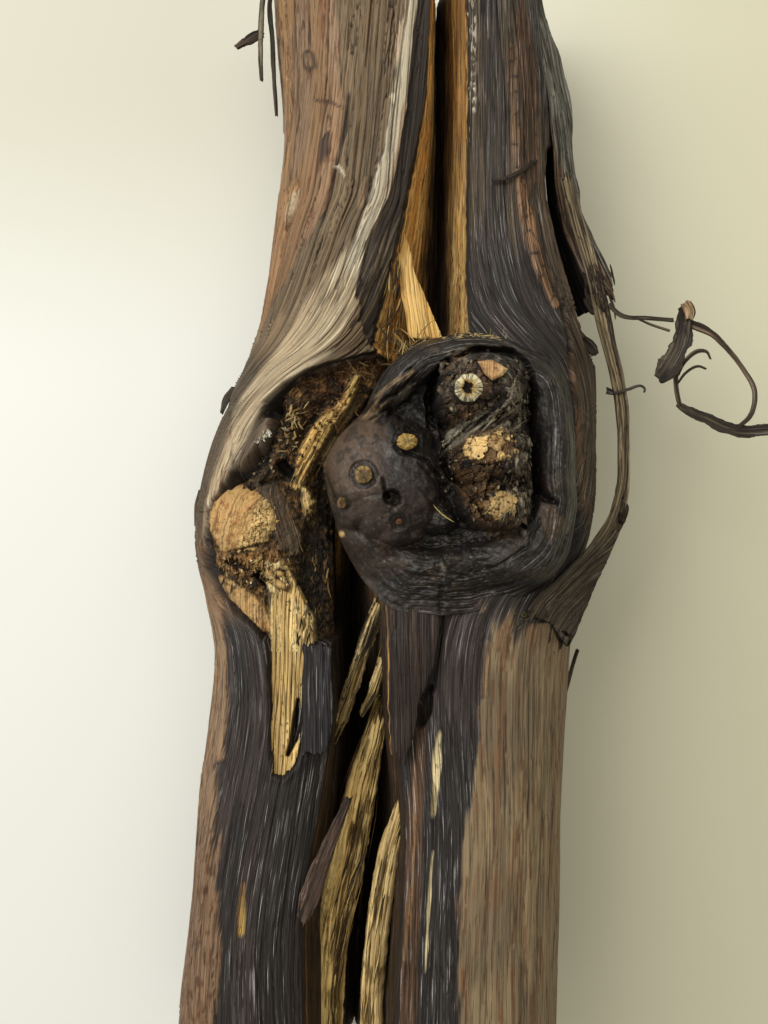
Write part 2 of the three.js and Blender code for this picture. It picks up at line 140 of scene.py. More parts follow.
def inPhoto(x, y, z):
    # the photograph's pixel for a place
    return view["middle"][0] + x / pixelSpan(z), view["middle"][1] - y / pixelSpan(z)


def fromPhoto(px, py, z):
    # the place x, y that a pixel of the photograph shows at a height
    return (px - view["middle"][0]) * pixelSpan(z), (view["middle"][1] - py) * pixelSpan(z)


def edgeAt(points, py):
    # how far across a boundary stands at each height of the photograph
    points = np.asarray(points, float)
    return np.interp(py, points[:, 1], points[:, 0])


def nearest(x, y, a, b):
    # how far along the line from a to b its nearest point lies (0-1), and the distance to it
    dx, dy = b[0] - a[0], b[1] - a[1]
    t = np.clip(((x - a[0]) * dx + (y - a[1]) * dy) / (dx * dx + dy * dy), 0, 1)
    return t, np.hypot(x - a[0] - t * dx, y - a[1] - t * dy)


def stroke(px, py, points, soft=1.5):
    # a brush stroke through x, y, width: 1 within half the width of the path, 0 outside
    mask = np.zeros_like(px)
    points = np.asarray(points, float)
    for a, b in zip(points[:-1], points[1:]):
        t, far = nearest(px, py, a, b)
        half = 0.5 * (a[2] + (b[2] - a[2]) * t)
        mask = np.maximum(mask, smooth(-soft, soft, half - far))
    return mask


def inside(px, py, corners):
    # the signed distance to a closed outline, positive inside
    corners = np.asarray(corners, float)
    distance = np.full(px.shape, 1e9)
    within = np.zeros(px.shape, bool)
    for a, b in zip(corners, np.roll(corners, -1, axis=0)):
        distance = np.minimum(distance, nearest(px, py, a, b)[1])
        dx, dy = b - a
        at = a[0] + (py - a[1]) * dx / (dy if abs(dy) > 1e-9 else 1e-9)
        within ^= ((a[1] > py) != (b[1] > py)) & (px < at)
    return np.where(within, distance, -distance)


# Colours

def tone(red, green, blue):
    # a colour as the eye reads it, 0-255, turned into the linear light that shaders use
    c = np.array([red, green, blue]) / 255.0
    return np.where(c <= 0.04045, c / 12.92, ((c + 0.055) / 1.055) ** 2.4)


def palette(**colours):
    # tones by name
    return {name: tone(*colour) for name, colour in colours.items()}


def blend(colour, other, mask):
    # the first colour where the mask is 0, the other where it is 1
    return colour + (np.asarray(other) - colour) * np.asarray(mask)[..., None]


class Coat:
    # the tint of a surface and its relief in mm, laid on one layer over another
    def __init__(self, tones, first, relief=0.0):
        self.tones, self.relief = tones, relief
        self.tint = self.tone(first)

    def tone(self, colour):
        return self.tones[colour] if isinstance(colour, str) else colour

    def lay(self, mask, colour, share=1.0, height=0.0):
        # where the mask is 1, a share of the colour and the whole height
        self.tint = blend(self.tint, self.tone(colour), share * mask)
        self.relief = self.relief + height * mask

    def fields(self, across, along, seed, sheen=0.0, bite=1.0):
        # the attributes that the paints read: the tint with the strength of the paint's own
        # pattern as its alpha, the fibres' place, and how silvery they are
        full = self.tint.shape[:-1]
        bite, sheen = np.broadcast_to(bite, full), np.broadcast_to(sheen, full)
        return {"tint": np.concatenate([self.tint, bite[..., None]], axis=-1),
                "grain": stack(across, along, seed + 0 * sheen), "sheen": sheen}


# Shader nodes

class Link:
    # a shader socket that sums and products can be written with
    def __init__(self, paint, socket):
        self.paint, self.socket = paint, socket

    def __add__(self, other):
        return self.paint.math("ADD", self, other)

    def __sub__(self, other):
        return self.paint.math("SUBTRACT", self, other)

    def __rsub__(self, other):
        return self.paint.math("SUBTRACT", other, self)

    def __mul__(self, other):
        return self.paint.math("MULTIPLY", self, other)

    def __pow__(self, other):
        return self.paint.math("POWER", self, other)

    __radd__ = __add__
    __rmul__ = __mul__


class Paint:
    # a node material being made
    def __init__(self, name, **constants):
        self.material = bpy.data.materials.new(name)
        self.material.use_nodes = True
        self.tree = self.material.node_tree
        self.surface = self.tree.nodes["Principled BSDF"]
        self.place = self.node("TexCoord", out="Object")
        self.finish(**constants)

    def node(self, kind, settings=None, values=None, out=0):
        # a node's settings are set first, then its sockets get values or links
        made = self.tree.nodes.new("ShaderNode" + kind)
        for key, value in (settings or {}).items():
            setattr(made, key, value)
        for key, value in (values or {}).items():
            self.feed(made.inputs[key], value)
        return Link(self, made.outputs[out])

    def feed(self, socket, value):
        if isinstance(value, Link):
            self.tree.links.new(value.socket, socket)
        elif socket.type == "RGBA" and len(value) == 3:
            socket.default_value = (*value, 1.0)
        else:
            socket.default_value = value

    def math(self, operation, a, b=0.0):
        return self.node("Math", {"operation": operation}, {0: a, 1: b})

    def stretch(self, vector, scale):
        scaled = {"operation": "MULTIPLY"}
        return self.node("VectorMath", scaled, {0: vector, 1: scale})

    def noise(self, vector, scale, detail=3.0, roughness=0.55):
        values = {"Vector": vector, "Scale": scale, "Detail": detail, "Roughness": roughness}
        return self.node("TexNoise", None, values)

    def between(self, value, low, high, start=0.0, end=1.0):
        # start where the value is low, end where it is high, an S curve between
        values = {"Value": value, "From Min": low, "From Max": high, "To Min": start, "To Max": end}
        return self.node("MapRange", {"interpolation_type": "SMOOTHSTEP"}, values)

    def mix(self, factor, a, b, way="MIX"):
        # colour a where the factor is 0, b where it is 1
        settings = {"data_type": "RGBA", "blend_type": way}
        return self.node("Mix", settings, {0: factor, 6: a, 7: b}, out=2)

    def attribute(self, name, out="Color"):
        return self.node("Attribute", {"attribute_name": name}, out=out)

    def finish(self, **sockets):
        # feeds the surface's sockets, with underscores for the spaces in their names
        for name, value in sockets.items():
            self.feed(self.surface.inputs[name.replace("_", " ")], value)

    def relief(self, height, depth):
        # depth in millimetres of the full range of height
        values = {"Height": height, "Distance": depth * 0.001, "Strength": 1.0}
        self.finish(Normal=self.node("Bump", None, values))


def grainPaint(name, fine, dark, speck, gloss, depth, silver=(0.46, 0.44, 0.46), crumbly=False):
    # tinted fibres that follow the "grain" attribute (mm across, mm along, seed): valleys darker,
    # thin cracks where one noise crosses its middle, pits, and pale threads where "sheen" is high.
    # A crumbly paint has grains instead of fibres where "sheen" is low
    paint = Paint(name, Specular_IOR_Level=0.35)
    grain = paint.attribute("grain", out="Vector")
    tint = paint.attribute("tint")
    bite = paint.attribute("tint", out="Alpha")
    sheen = paint.attribute("sheen", out="Fac")
    black = (0.012, 0.009, 0.008)
    thread = paint.noise(paint.stretch(grain, (fine, 0.07, 1.0)), 1.0, 4.0, 0.62)
    split = paint.noise(paint.stretch(grain, (fine * 0.3, 0.022, 1.0)), 1.0, 3.0, 0.6)
    pits = paint.noise(paint.stretch(grain, (fine * 0.75, 0.42, 1.0)), 1.0, 2.0, 0.5)
    grit = paint.noise(paint.place, 1500.0, 3.0, 0.65)
    if crumbly:
        crumbs = paint.noise(paint.place, 700.0, 5.0, 0.7)
        thread = thread * sheen + crumbs * (1 - sheen)
    wide = paint.noise(paint.stretch(grain, (fine * 0.22, 0.02, 1.0)), 1.0, 3.0, 0.55)
    valley = paint.between(thread, 0.56, 0.42) * bite
    colour = paint.mix(valley, paint.mix(1.0, tint, (1.12,) * 3, "MULTIPLY"),
                       paint.mix(1.0, tint, (dark,) * 3, "MULTIPLY"))
    colour = paint.mix(paint.between(wide, 0.3, 0.7, 0.28, 0.0) * bite, colour, black)
    # pale threads on the fibres' ridges, partly pale fibres and partly a painted highlight
    silvery = paint.noise(paint.stretch(grain, (fine * 1.4, 0.06, 2.0)), 1.0, 3.0, 0.6)
    pale = paint.between(silvery, 0.59, 0.64) * paint.between(thread, 0.42, 0.56) * sheen
    colour = paint.mix(pale * 0.85, colour, silver)
    crack = paint.between(paint.math("ABSOLUTE", split - 0.5), 0.022, 0.006)
    crack = crack * paint.between(thread, 0.66, 0.46) * (bite * 0.6 + 0.4)
    if crumbly:
        crack = crack * sheen
    colour = paint.mix(crack * 0.85, colour, black)
    colour = paint.mix(paint.between(pits, 0.62, 0.68, 0.0, speck) * bite, colour, black)
    colour = paint.mix(paint.between(grit, 0.6, 0.72, 0.0, speck) * bite, colour, black)
    low, high = gloss
    paint.finish(Base_Color=colour, Roughness=paint.between(thread, 0.3, 0.7, high, low))
    paint.relief(thread * 0.8 + wide * 0.5 + grit * 0.25 - crack * 0.6, depth)
    return paint.material


def cutPaint(name, early, late, centre):
    # a sawn end: growth rings round the pith, rays, and fine saw marks
    paint = Paint(name, Specular_IOR_Level=0.25)
    across = paint.node("SeparateXYZ", None, {0: paint.place})
    up = Link(paint, across.socket.node.outputs[2])
    dx, dz = across - centre[0] * 0.001, up - centre[1] * 0.001
    radius = (dx * dx + dz * dz * 0.8) ** 0.5
    wander = paint.noise(paint.place, 60.0, 3.0)
    rings = paint.noise(paint.node("CombineXYZ", None, {0: radius * 900.0 + wander * 3.0}), 1.0, 2.0)
    angle = paint.math("ARCTAN2", dx, dz)
    rays = paint.noise(paint.node("CombineXYZ", None, {0: angle * 26.0, 1: radius * 60.0}), 1.0, 3.0)
    marks = paint.noise(paint.stretch(paint.place, (300.0, 1.0, 2200.0)), 1.0, 2.0)
    colour = paint.mix(paint.between(rings, 0.35, 0.65), late, early)
    colour = paint.mix(paint.between(rays, 0.55, 0.72, 0.0, 0.6), colour, tuple(late * 0.35))
    colour = paint.mix(paint.between(wander, 0.55, 0.8, 0.0, 0.5), colour, tuple(late * 0.5))
    paint.finish(Base_Color=colour, Roughness=paint.between(rays, 0.3, 0.7, 0.9, 0.7))
    paint.relief(rings * 0.4 + rays * 0.5 + marks * 0.3, 0.25)
    return paint.material


materials = {
    "bark": grainPaint("bark", 3.4, 0.42, 0.5, (0.5, 0.8), 0.26),
    "weatheredBark": grainPaint("weatheredBark", 2.4, 0.5, 0.7, (0.7, 0.95), 0.28),
    "wood": grainPaint("splitWood", 2.4, 0.5, 0.55, (0.6, 0.85), 0.25, silver=(0.72, 0.6, 0.38)),
    "rot": grainPaint("decayedWood", 2.2, 0.3, 0.9, (0.7, 0.95), 0.5, (0.6, 0.5, 0.34), True),
    "burl": grainPaint("burlBark", 2.4, 0.5, 0.5, (0.3, 0.62), 0.26, crumbly=True),
    "leftCut": cutPaint("sawnLeft", tone(184, 156, 114), tone(146, 116, 80), (-46.0, 29.0)),
    "rightCut": cutPaint("sawnRight", tone(184, 156, 114), tone(146, 116, 80), (2.0, 30.0)),
}


# Meshes

def gridQuads(rows, columns, wrap=False):
    # the four corners of every cell of a grid; wrap joins the last column to the first
    index = np.arange(rows * columns).reshape(rows, columns)
    if wrap:
        index = np.concatenate([index, index[:, :1]], axis=1)
    return stack(index[:-1, :-1], index[:-1, 1:], index[1:, 1:], index[1:, :-1]).reshape(-1, 4)


def fan(loop, centre):
    # triangles from a closed loop of vertices to one centre
    return stack(loop, np.roll(loop, -1), centre)


def makePiece(name, points, quads, triangles, paints, stands=(), fields=None, flat=None):
    # one closed mesh that faces out, with its attributes and its materials. flat is the number
    # of closing triangles, which take the second material and a hard edge
    points = np.asarray(points, float)
    quads, triangles = np.asarray(quads, int), np.asarray(triangles, int).reshape(-1, 3)
    corners = np.concatenate([quads[:, [0, 1, 2]], quads[:, [0, 2, 3]], triangles])
    a, b, c = (points[corners[:, n]] for n in range(3))
    if np.einsum("ij,ij->i", a, np.cross(b, c)).sum() < 0:
        quads, triangles = quads[:, ::-1], triangles[:, ::-1]
    mesh = bpy.data.meshes.new(name)
    mesh.vertices.add(len(points))
    mesh.vertices.foreach_set("co", ((points + [originShift, 0, 0]) * 0.001).ravel())
    mesh.loops.add(quads.size + triangles.size)
    mesh.loops.foreach_set("vertex_index", np.concatenate([quads.ravel(), triangles.ravel()]))
    mesh.polygons.add(len(quads) + len(triangles))
    starts = [np.arange(len(quads)) * 4, quads.size + np.arange(len(triangles)) * 3]
    mesh.polygons.foreach_set("loop_start", np.concatenate(starts))
    smoothFace = np.ones(len(mesh.polygons), bool)
    second = np.zeros(len(mesh.polygons), np.int32)
    if flat:
        smoothFace[-flat:] = False
        second[-flat:] = len(paints) - 1
    mesh.polygons.foreach_set("use_smooth", smoothFace)
    mesh.update(calc_edges=True)
    for paint in paints:
        mesh.materials.append(materials[paint])
    mesh.polygons.foreach_set("material_index", second)
    # the tint's alpha, 1 where none is given, says how strongly the paint's own pattern shows
    for key, value in (fields or {}).items():
        value = np.asarray(value, np.float32)
        if key == "tint":
            layer = mesh.color_attributes.new(key, "FLOAT_COLOR", "POINT")
            alpha = np.ones((len(value), 4 - value.shape[1]), np.float32)
            full = np.concatenate([value, alpha], axis=1)
            layer.data.foreach_set("color", full.ravel())
        elif key == "grain":
            mesh.attributes.new(key, "FLOAT_VECTOR", "POINT").data.foreach_set("vector", value.ravel())
        else:
            mesh.attributes.new(key, "FLOAT", "POINT").data.foreach_set("value", value.ravel())
    piece = bpy.data.objects.new(name, mesh)
    bpy.context.scene.collection.objects.link(piece)
    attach(piece, "root")
    if stands:
        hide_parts(*stands)
    return piece


def outward(points):
    # unit normals of a grid of points, from its two directions
    normal = np.cross(np.gradient(points, axis=1), np.gradient(points, axis=0))
    return normal / (np.linalg.norm(normal, axis=-1, keepdims=True) + 1e-12)


def sheet(name, points, fields, paint, stands, drop):
    # an open grid made solid: its rim is carried down by drop and closed to one point below
    rows, columns = points.shape[:2]
    base = rows * columns
    index = np.arange(base).reshape(rows, columns)
    rim = np.concatenate([index[0, :-1], index[:-1, -1], index[-1, :0:-1], index[:0:-1, 0]])
    points = points.reshape(-1, 3)
    lower = points[rim] - [0, 0, drop]
    low = base + np.arange(len(rim))
    sides = stack(rim, np.roll(rim, -1), np.roll(low, -1), low)[:, ::-1]
    full = {}
    for key, value in fields.items():
        value = value.reshape(base, -1)
        full[key] = np.concatenate([value, value[rim], value[rim].mean(axis=0, keepdims=True)])
    points = np.concatenate([points, lower, lower.mean(axis=0, keepdims=True)])
    return makePiece(name, points, np.concatenate([gridQuads(rows, columns), sides]),
                     fan(low, base + len(rim))[:, ::-1], [paint], stands, full)


def tube(name, rings, fields, paints, stands=(), hard=False):
    # rings of points carried along a path, closed at both ends
    rows, columns = rings.shape[:2]
    base = rows * columns
    full = {}
    for key, value in {"place": rings, **fields}.items():
        value = value.reshape(rows, columns, -1)
        closing = np.stack([value[0].mean(axis=0), value[-1].mean(axis=0)])
        full[key] = np.concatenate([value.reshape(base, -1), closing])
    first = np.arange(columns)
    triangles = np.concatenate([fan(first, base)[:, ::-1], fan(first + base - columns, base + 1)])
    return makePiece(name, full.pop("place"), gridQuads(rows, columns, wrap=True), triangles, paints,
                     stands, full, flat=len(triangles) if hard else None)


def capped(name, points, fields, drop, stands):
    # a polar grid of wood whose rim is let down straight
    rows = 7
    t = np.linspace(0, 1, rows + 1)[1:, None, None]
    fields = {key: np.concatenate([v, np.repeat(v[-1:], rows, axis=0)]) for key, v in fields.items()}
    return tube(name, np.concatenate([points, points[-1:] - [0, 0, drop] * t]), fields, ["wood"],
                stands)


# The two limbs

# y, outer side, edge of the split, height; nearly the same rows as the solids
leftLimb = {
    "side": -1,
    "seed": 11,
    "cut": "leftCut",
    "rows": [(-128, -47, -15.9, 62), (-112.6, -45.9, -16.3, 62), (-85.4, -42.7, -17.2, 61),
        (-63.4, -41.1, -14, 60), (-41.4, -38.7, -10.6, 58), (-30.4, -38.1, -11.3, 57),
        (-19.4, -40.4, -11.4, 56), (-8.4, -43.6, -11.4, 55), (2.6, -43.4, -12.4, 54), (13.6, -41, -9.8, 54),
        (24.6, -36.9, -4.7, 54), (35.6, -31.6, -2.1, 54), (46.6, -29, 0, 53), (68.6, -26, 4.7, 52),
        (90.6, -24.2, 9.3, 51), (112.6, -25.6, 10.4, 50), (128, -26.6, 10.9, 50)],
}
rightLimb = {
    "side": 1,
    "seed": 23,
    "cut": "rightCut",
    "rows": [(-128, 37.3, 2.4, 65), (-112.6, 38, 2.8, 65), (-85.4, 39, 3.6, 64), (-63.4, 39.5, 4.3, 63),
        (-41.4, 41, 2.4, 62), (-30.4, 41.8, 1.6, 62), (-19.4, 43.2, 0.8, 62), (-8.4, 45.6, -0.4, 63),
        (2.6, 47.4, 0, 63), (13.6, 47.6, 4.1, 63), (24.6, 47.6, 11.4, 62), (35.6, 46.8, 17.7, 60),
        (46.6, 45.2, 18, 57), (57.6, 42, 18.2, 55), (68.6, 39.4, 18.3, 54), (90.6, 38.2, 18.4, 53),
        (112.6, 36.2, 18.5, 52), (128, 34.4, 18.5, 52)],
}
seam = [
    (-128, -7.5), (-112.6, -6.8), (-85.4, -4.5), (-63.4, -4.8), (-41.4, -7.8), (-8.4, -8), (2.6, -6.5),
    (13.6, -2.3), (24.6, 4.5), (35.6, 10.3), (46.6, 13), (128, 13.3),
]
limbShape = {
    "crest": 0.4,  # where the top lies, 0 at the split's edge and 1 at the outer side
    "edgeDrop": 4.5,  # from the top down to the split's edge
    "belly": 0.52,  # the widest place's share of the height
    "rest": 0.45,  # how far the sole reaches from the seam towards the outer side
    "seamLift": 1.2,  # how far the sole rises at the seam
    "splitFloor": 15.0,  # the height of the split's bottom
    "columns": dict(wall=64, crest=92, side=110, under=96, sole=34),
    "rows": 322,
    "girth": 110.0,  # mm of bark round the outline
}


def limbTop(limb, x, y):
    # the height of the limb's upper side: a parabola to the split, a superellipse to the outside
    outer, inner, top = (track(limb["rows"], n, y) for n in (1, 2, 3))
    crest = inner + (outer - inner) * limbShape["crest"]
    belly = top * limbShape["belly"]
    out = np.clip((x - crest) / (outer - crest), 0, 1)
    rise = np.clip(1 - out ** 2.2, 0, 1) ** (1 / 2.2)
    toSplit = np.clip((x - crest) / (inner - crest), 0, 1.6)
    return np.where(out > 0, belly + (top - belly) * rise, top - limbShape["edgeDrop"] * toSplit ** 2)


def limbOutline(limb, y):
    # the outline's parts at each y: crest, outer side, underside and sole, as x, z on a grid
    count = limbShape["columns"]
    outer, inner, top = (track(limb["rows"], n, y)[:, None] for n in (1, 2, 3))
    middle = track(seam, 1, y)[:, None] + limb["side"] * 0.15
    crest = inner + (outer - inner) * limbShape["crest"]
    belly = top * limbShape["belly"]
    rest = middle + (outer - middle) * limbShape["rest"]
    away = 1 - np.linspace(0, 1, count["crest"], endpoint=False)[None]
    parts = [(crest + (inner - crest) * away, top - limbShape["edgeDrop"] * away ** 2)]
    angle = np.linspace(0, 1, count["side"])[None] * np.pi / 2
    parts.append((crest + (outer - crest) * np.sin(angle) ** (2 / 2.2),
                  belly + (top - belly) * np.maximum(np.cos(angle), 0) ** (2 / 2.2)))
    angle = np.linspace(1, 0, count["under"] + 1)[None, 1:] * np.pi / 2
    parts.append((rest + (outer - rest) * np.sin(angle) ** (2 / 2.5),
                  belly - belly * np.maximum(np.cos(angle), 0) ** (2 / 2.5)))
    share = np.linspace(0, 1, count["sole"] + 1)[None, 1:]
    parts.append((rest + (middle - rest) * share, limbShape["seamLift"] * share ** 3 + 0 * rest))
    return np.concatenate([p[0] for p in parts], 1), np.concatenate([p[1] for p in parts], 1), middle


def girthShare(x, z):
    # how far round the outline each point lies, from the split's edge (0) to the seam (1)
    step = np.hypot(np.diff(x, axis=1), np.diff(z, axis=1))
    run = np.concatenate([np.zeros((len(x), 1)), np.cumsum(step, axis=1)], axis=1)
    return run / run[:, -1:]


def shareAt(x, share, target, reach):
    # the share at which each row's x first passes target, between two columns
    passed = (x[:, :reach] - target[:, None]) * np.sign(x[:, reach - 1] - x[:, 0])[:, None] > 0
    i = np.clip(np.argmax(passed, axis=1), 1, reach - 1)[:, None]
    x0, x1 = np.take_along_axis(x, i - 1, 1), np.take_along_axis(x, i, 1)
    s0, s1 = np.take_along_axis(share, i - 1, 1), np.take_along_axis(share, i, 1)
    t = np.clip((target[:, None] - x0) / (x1 - x0 + 1e-9), 0, 1)
    return np.where(passed.any(axis=1)[:, None], s0 + (s1 - s0) * t, 0.0)


def limbGrain(limb, x, z, y):
    # fibres run round the burl and the wound: between the lip and the seam they share the girth,
    # and the lip rows say how much of it the fibres inside the lip keep (1 all, 0 none)
    share = girthShare(x, z)
    reach = limbShape["columns"]["crest"] + limbShape["columns"]["side"]
    lip = shareAt(x, share, track(limb["lip"], 1, y), reach)
    start = lip * track(limb["lip"], 2, y)[:, None]
    beyond = start + (1 - start) * (share - lip) / (1 - lip)
    within = start + share - lip
    return np.where(share > lip, beyond, within) * limbShape["girth"]


# where the bark's fibres turn aside: y, the lip's x, and what the fibres inside it keep
leftLimb["lip"] = [
    (-128, -25, 1), (-60, -25, 1), (-40, -25, 0.95), (-25, -26, 0.85), (-17, -33, 0.6), (-8, -38.6, 0.35),
    (4, -39.2, 0.18), (14, -34.4, 0.08), (22, -27.6, 0), (28, -21, 0), (31.5, -16, 0), (34, -12, 0),
    (38, -8, 0), (44, -4.5, 0), (50, -2, 0), (60, 1.5, 0), (69, 4.8, 0), (128, 11, 0),
]
rightLimb["lip"] = [
    (-128, 22, 1), (-60, 22, 1), (-40, 22, 0.98), (-26, 24, 0.93), (-16, 30, 0.8), (-4, 36.2, 0.5),
    (10, 37, 0.25), (22, 34.6, 0.08), (30, 29, 0), (36, 24, 0), (42, 20.5, 0), (50, 18.8, 0), (60, 18.3, 0),
    (128, 18.5, 0),
]


def limbRows(low, high):
    # rows up a limb, closer together where the fibres turn aside round the wound and the burl
    y = np.linspace(low, high, 2400)
    dense = 1 + 1.9 * smooth(14, 22, y) * smooth(46, 38, y)
    dense = dense + 1.5 * smooth(-34, -28, y) * smooth(-8, -14, y)
    run = np.concatenate([[0], np.cumsum(dense[1:])])
    return np.interp(np.linspace(0, run[-1], limbShape["rows"]), run, y)


def closedLimb(limb, name, rings, looks, stands=()):
    # the columns joined to a ring; its hidden rest carries on the last attributes
    rings = np.concatenate(rings, axis=1)
    fields = {}
    for key in looks[0]:
        values = np.concatenate([look[key] for look in looks], axis=1)
        hidden = np.repeat(values[:, -1:], rings.shape[1] - values.shape[1], axis=1)
        fields[key] = np.concatenate([values, hidden], axis=1)
    tube(name, rings, fields, ["bark", limb["cut"]], stands, hard=True)


def across(start, end, shares):
    # columns of points on the way from one column to another
    return start + (end - start) * np.asarray(shares)[None, :, None]


def dressedLimb(limb, y, columns, dress):
    # a part of the limb's outline raised by its bark, its attributes, and the split's floor
    x, z, middle = limbOutline(limb, y)
    grain = limbGrain(limb, x, z, y)[:, columns]
    points = stack(x[:, columns], y[:, None], z[:, columns])
    relief, look = dress(limb, points, grain)
    points = points + outward(points) * limb["side"] * relief[..., None]
    return points, look, stack(middle, y[:, None], limbShape["splitFloor"])


def makeLimb(limb, half, dress, name, stands):
    # one half of a limb as a closed ring: wall of the split, crest and outer side, then straight
    # back through the inside. Wall points lie between the split's floor and the carved edge
    count = limbShape["columns"]
    y = limbRows(*half)
    points, look, floor = dressedLimb(limb, y, slice(0, count["crest"] + count["side"]), dress)
    points[..., 1] = np.clip(points[..., 1], -sawnAt, sawnAt)
    ends = np.abs(y) > sawnAt - 0.01
    points[ends, :, 1] = y[ends][:, None]
    wall = across(floor, points[:, :1], np.linspace(0, 1, count["wall"], endpoint=False))
    relief, wallLook = dressWall(limb, wall)
    wall = wall + np.array([-limb["side"], 0, 0]) * relief[..., None]
    wall[ends, :, 1] = y[ends][:, None]
    back = across(points[:, -1:], floor, [0.33, 0.66])
    closedLimb(limb, name, [wall, points, back], [wallLook, look], stands)


def makeLimbBack(limb, dress, name):
    # the underside of a limb, from its belly to the seam and up the closed part of the split
    y = np.linspace(-sawnAt, sawnAt, limbShape["rows"])
    belly = limbShape["columns"]["crest"] + limbShape["columns"]["side"] - 1
    points, look, floor = dressedLimb(limb, y, slice(belly, None), dress)
    points[..., 1] = y[:, None]
    points[..., 2] = np.maximum(points[..., 2], 0.0)
    up = across(points[:, -1:], floor, [0.5, 1.0])
    back = across(floor, points[:, :1], [0.33, 0.66])
    closedLimb(limb, name, [points, up, back], [look])


splitWood = palette(yellow=(248, 212, 136), brown=(210, 154, 84), dark=(60, 42, 27), barkEdge=(52, 46, 42))


def dressWall(limb, wall):
    # split wood: long fibres down the limb, yellow to brown, dark near the bottom with painted shade,
    # which also darkens the lower walls, and painted light on the upper left wall
    along, height = wall[..., 1], wall[..., 2]
    seed = limb["seed"] + 100
    deep = height[:, -1:] - height
    value, side = strips(height, along, 3.2, 40.0, seed)[:2]
    streak = rough(height * 0.9, along * 0.03, 3, seed + 5)
    coat = Coat(splitWood, "brown", 0.5 * (value - 0.5) + 0.5 * streak)
    coat.lay(smooth(-0.3, 0.5, streak), "yellow")
    coat.lay(smooth(0.5, 1.0, value), splitWood["brown"] * 0.75, 0.7)
    # painted shade: darker deep in the split
    coat.lay(smooth(11.0, 28.0, deep + 4 * noise(along * 0.2, height, seed)), "dark")
    coat.lay(smooth(0.3, 0.0, side), "dark", 0.75)
    coat.relief = coat.relief - 0.35 * smooth(0.25, 0.0, side)
    lower = smooth(-8.0, -22.0, along)
    # painted light on the upper part of the left wall, and a little painted shade on the right wall's
    upperPaintedLight = 0.75 if limb["side"] < 0 else -0.1
    coat.tint = coat.tint * (1 + upperPaintedLight * (1 - lower))[..., None]
    # painted shade: the lower walls nearly black below their top edge
    coat.lay(lower * smooth(0.0, 1.0, deep), splitWood["dark"] * 0.8, 0.97)
    coat.lay(smooth(2.3, 1.5, deep + 0.5 * noise(along * 0.8, 0, seed + 9)), "barkEdge")
    if limb["side"] < 0:
        thin = smooth(0.35, 0.15, np.abs(deep - 2.6)) * smooth(-46.0, -52.0, along)
        coat.lay(thin, splitWood["brown"] * 0.6, 0.8)
    return coat.relief * smooth(0.0, 2.0, deep), coat.fields(height, along, seed, 0.25, 0.9)


barkTones = palette(
    dark=(42, 38, 38), blueGrey=(84, 82, 82), purple=(58, 48, 46), tan=(152, 122, 90),
    orange=(158, 122, 84), pink=(146, 120, 98), greyBrown=(126, 109, 86), pale=(224, 212, 188),
    red=(128, 92, 64), crack=(22, 16, 14), yellow=(222, 182, 104), straw=(232, 214, 168),
    rust=(104, 62, 38), shelf=(112, 96, 80), swirl=(182, 163, 134), segment=(158, 118, 82),
)


def barkDashes(grain, along, seed, length, share):
    # short thin dashes: the share of the strips above which one is a dash
    value, side, end = strips(grain, along, 0.5, length, seed + 60)
    return (value > share) * smooth(0.02, 0.1, side) * smooth(0.1, 0.8, end)


def barkWander(grain, along, seed):
    # how many pixels the edges of painted marks stray
    return 3.0 * noise(grain * 0.8, along * 0.09, seed + 1) + 1.6 * noise(grain * 3, along * 0.3, seed + 2)


bellyShift = 190.0  # pixels across to the bark that the belly takes


def barkRelief(grain, along, seed, coarse, fibre):
    # torn strips at two sizes over fibres; coarse and fibre scale them
    wideValue, wideSide = strips(grain, along, 4.6, 70.0, seed)[:2]
    value, side = strips(grain, along, 1.5, 34.0, seed + 40)[:2]
    relief = coarse * (0.75 * (wideValue - 0.5) + 0.45 * (value - 0.5))
    relief = relief - coarse * (0.6 * smooth(0.4, 0.1, wideSide) + 0.25 * smooth(0.2, 0.05, side))
    relief = relief + fibre * 0.16 * rough(grain * 2.1, along * 0.05, 3, seed + 80)
    relief = relief + 0.5 * noise(grain * 0.16, along * 0.025, seed + 90)
    crack = np.maximum(smooth(0.35, 0.1, wideSide) * (wideValue > 0.4), 0.6 * smooth(0.2, 0.06, side))
    crack = crack * smooth(-0.5, 0.1, rough(grain * 0.7, along * 0.06, 2, seed + 95))
    return relief, wideValue, value, crack


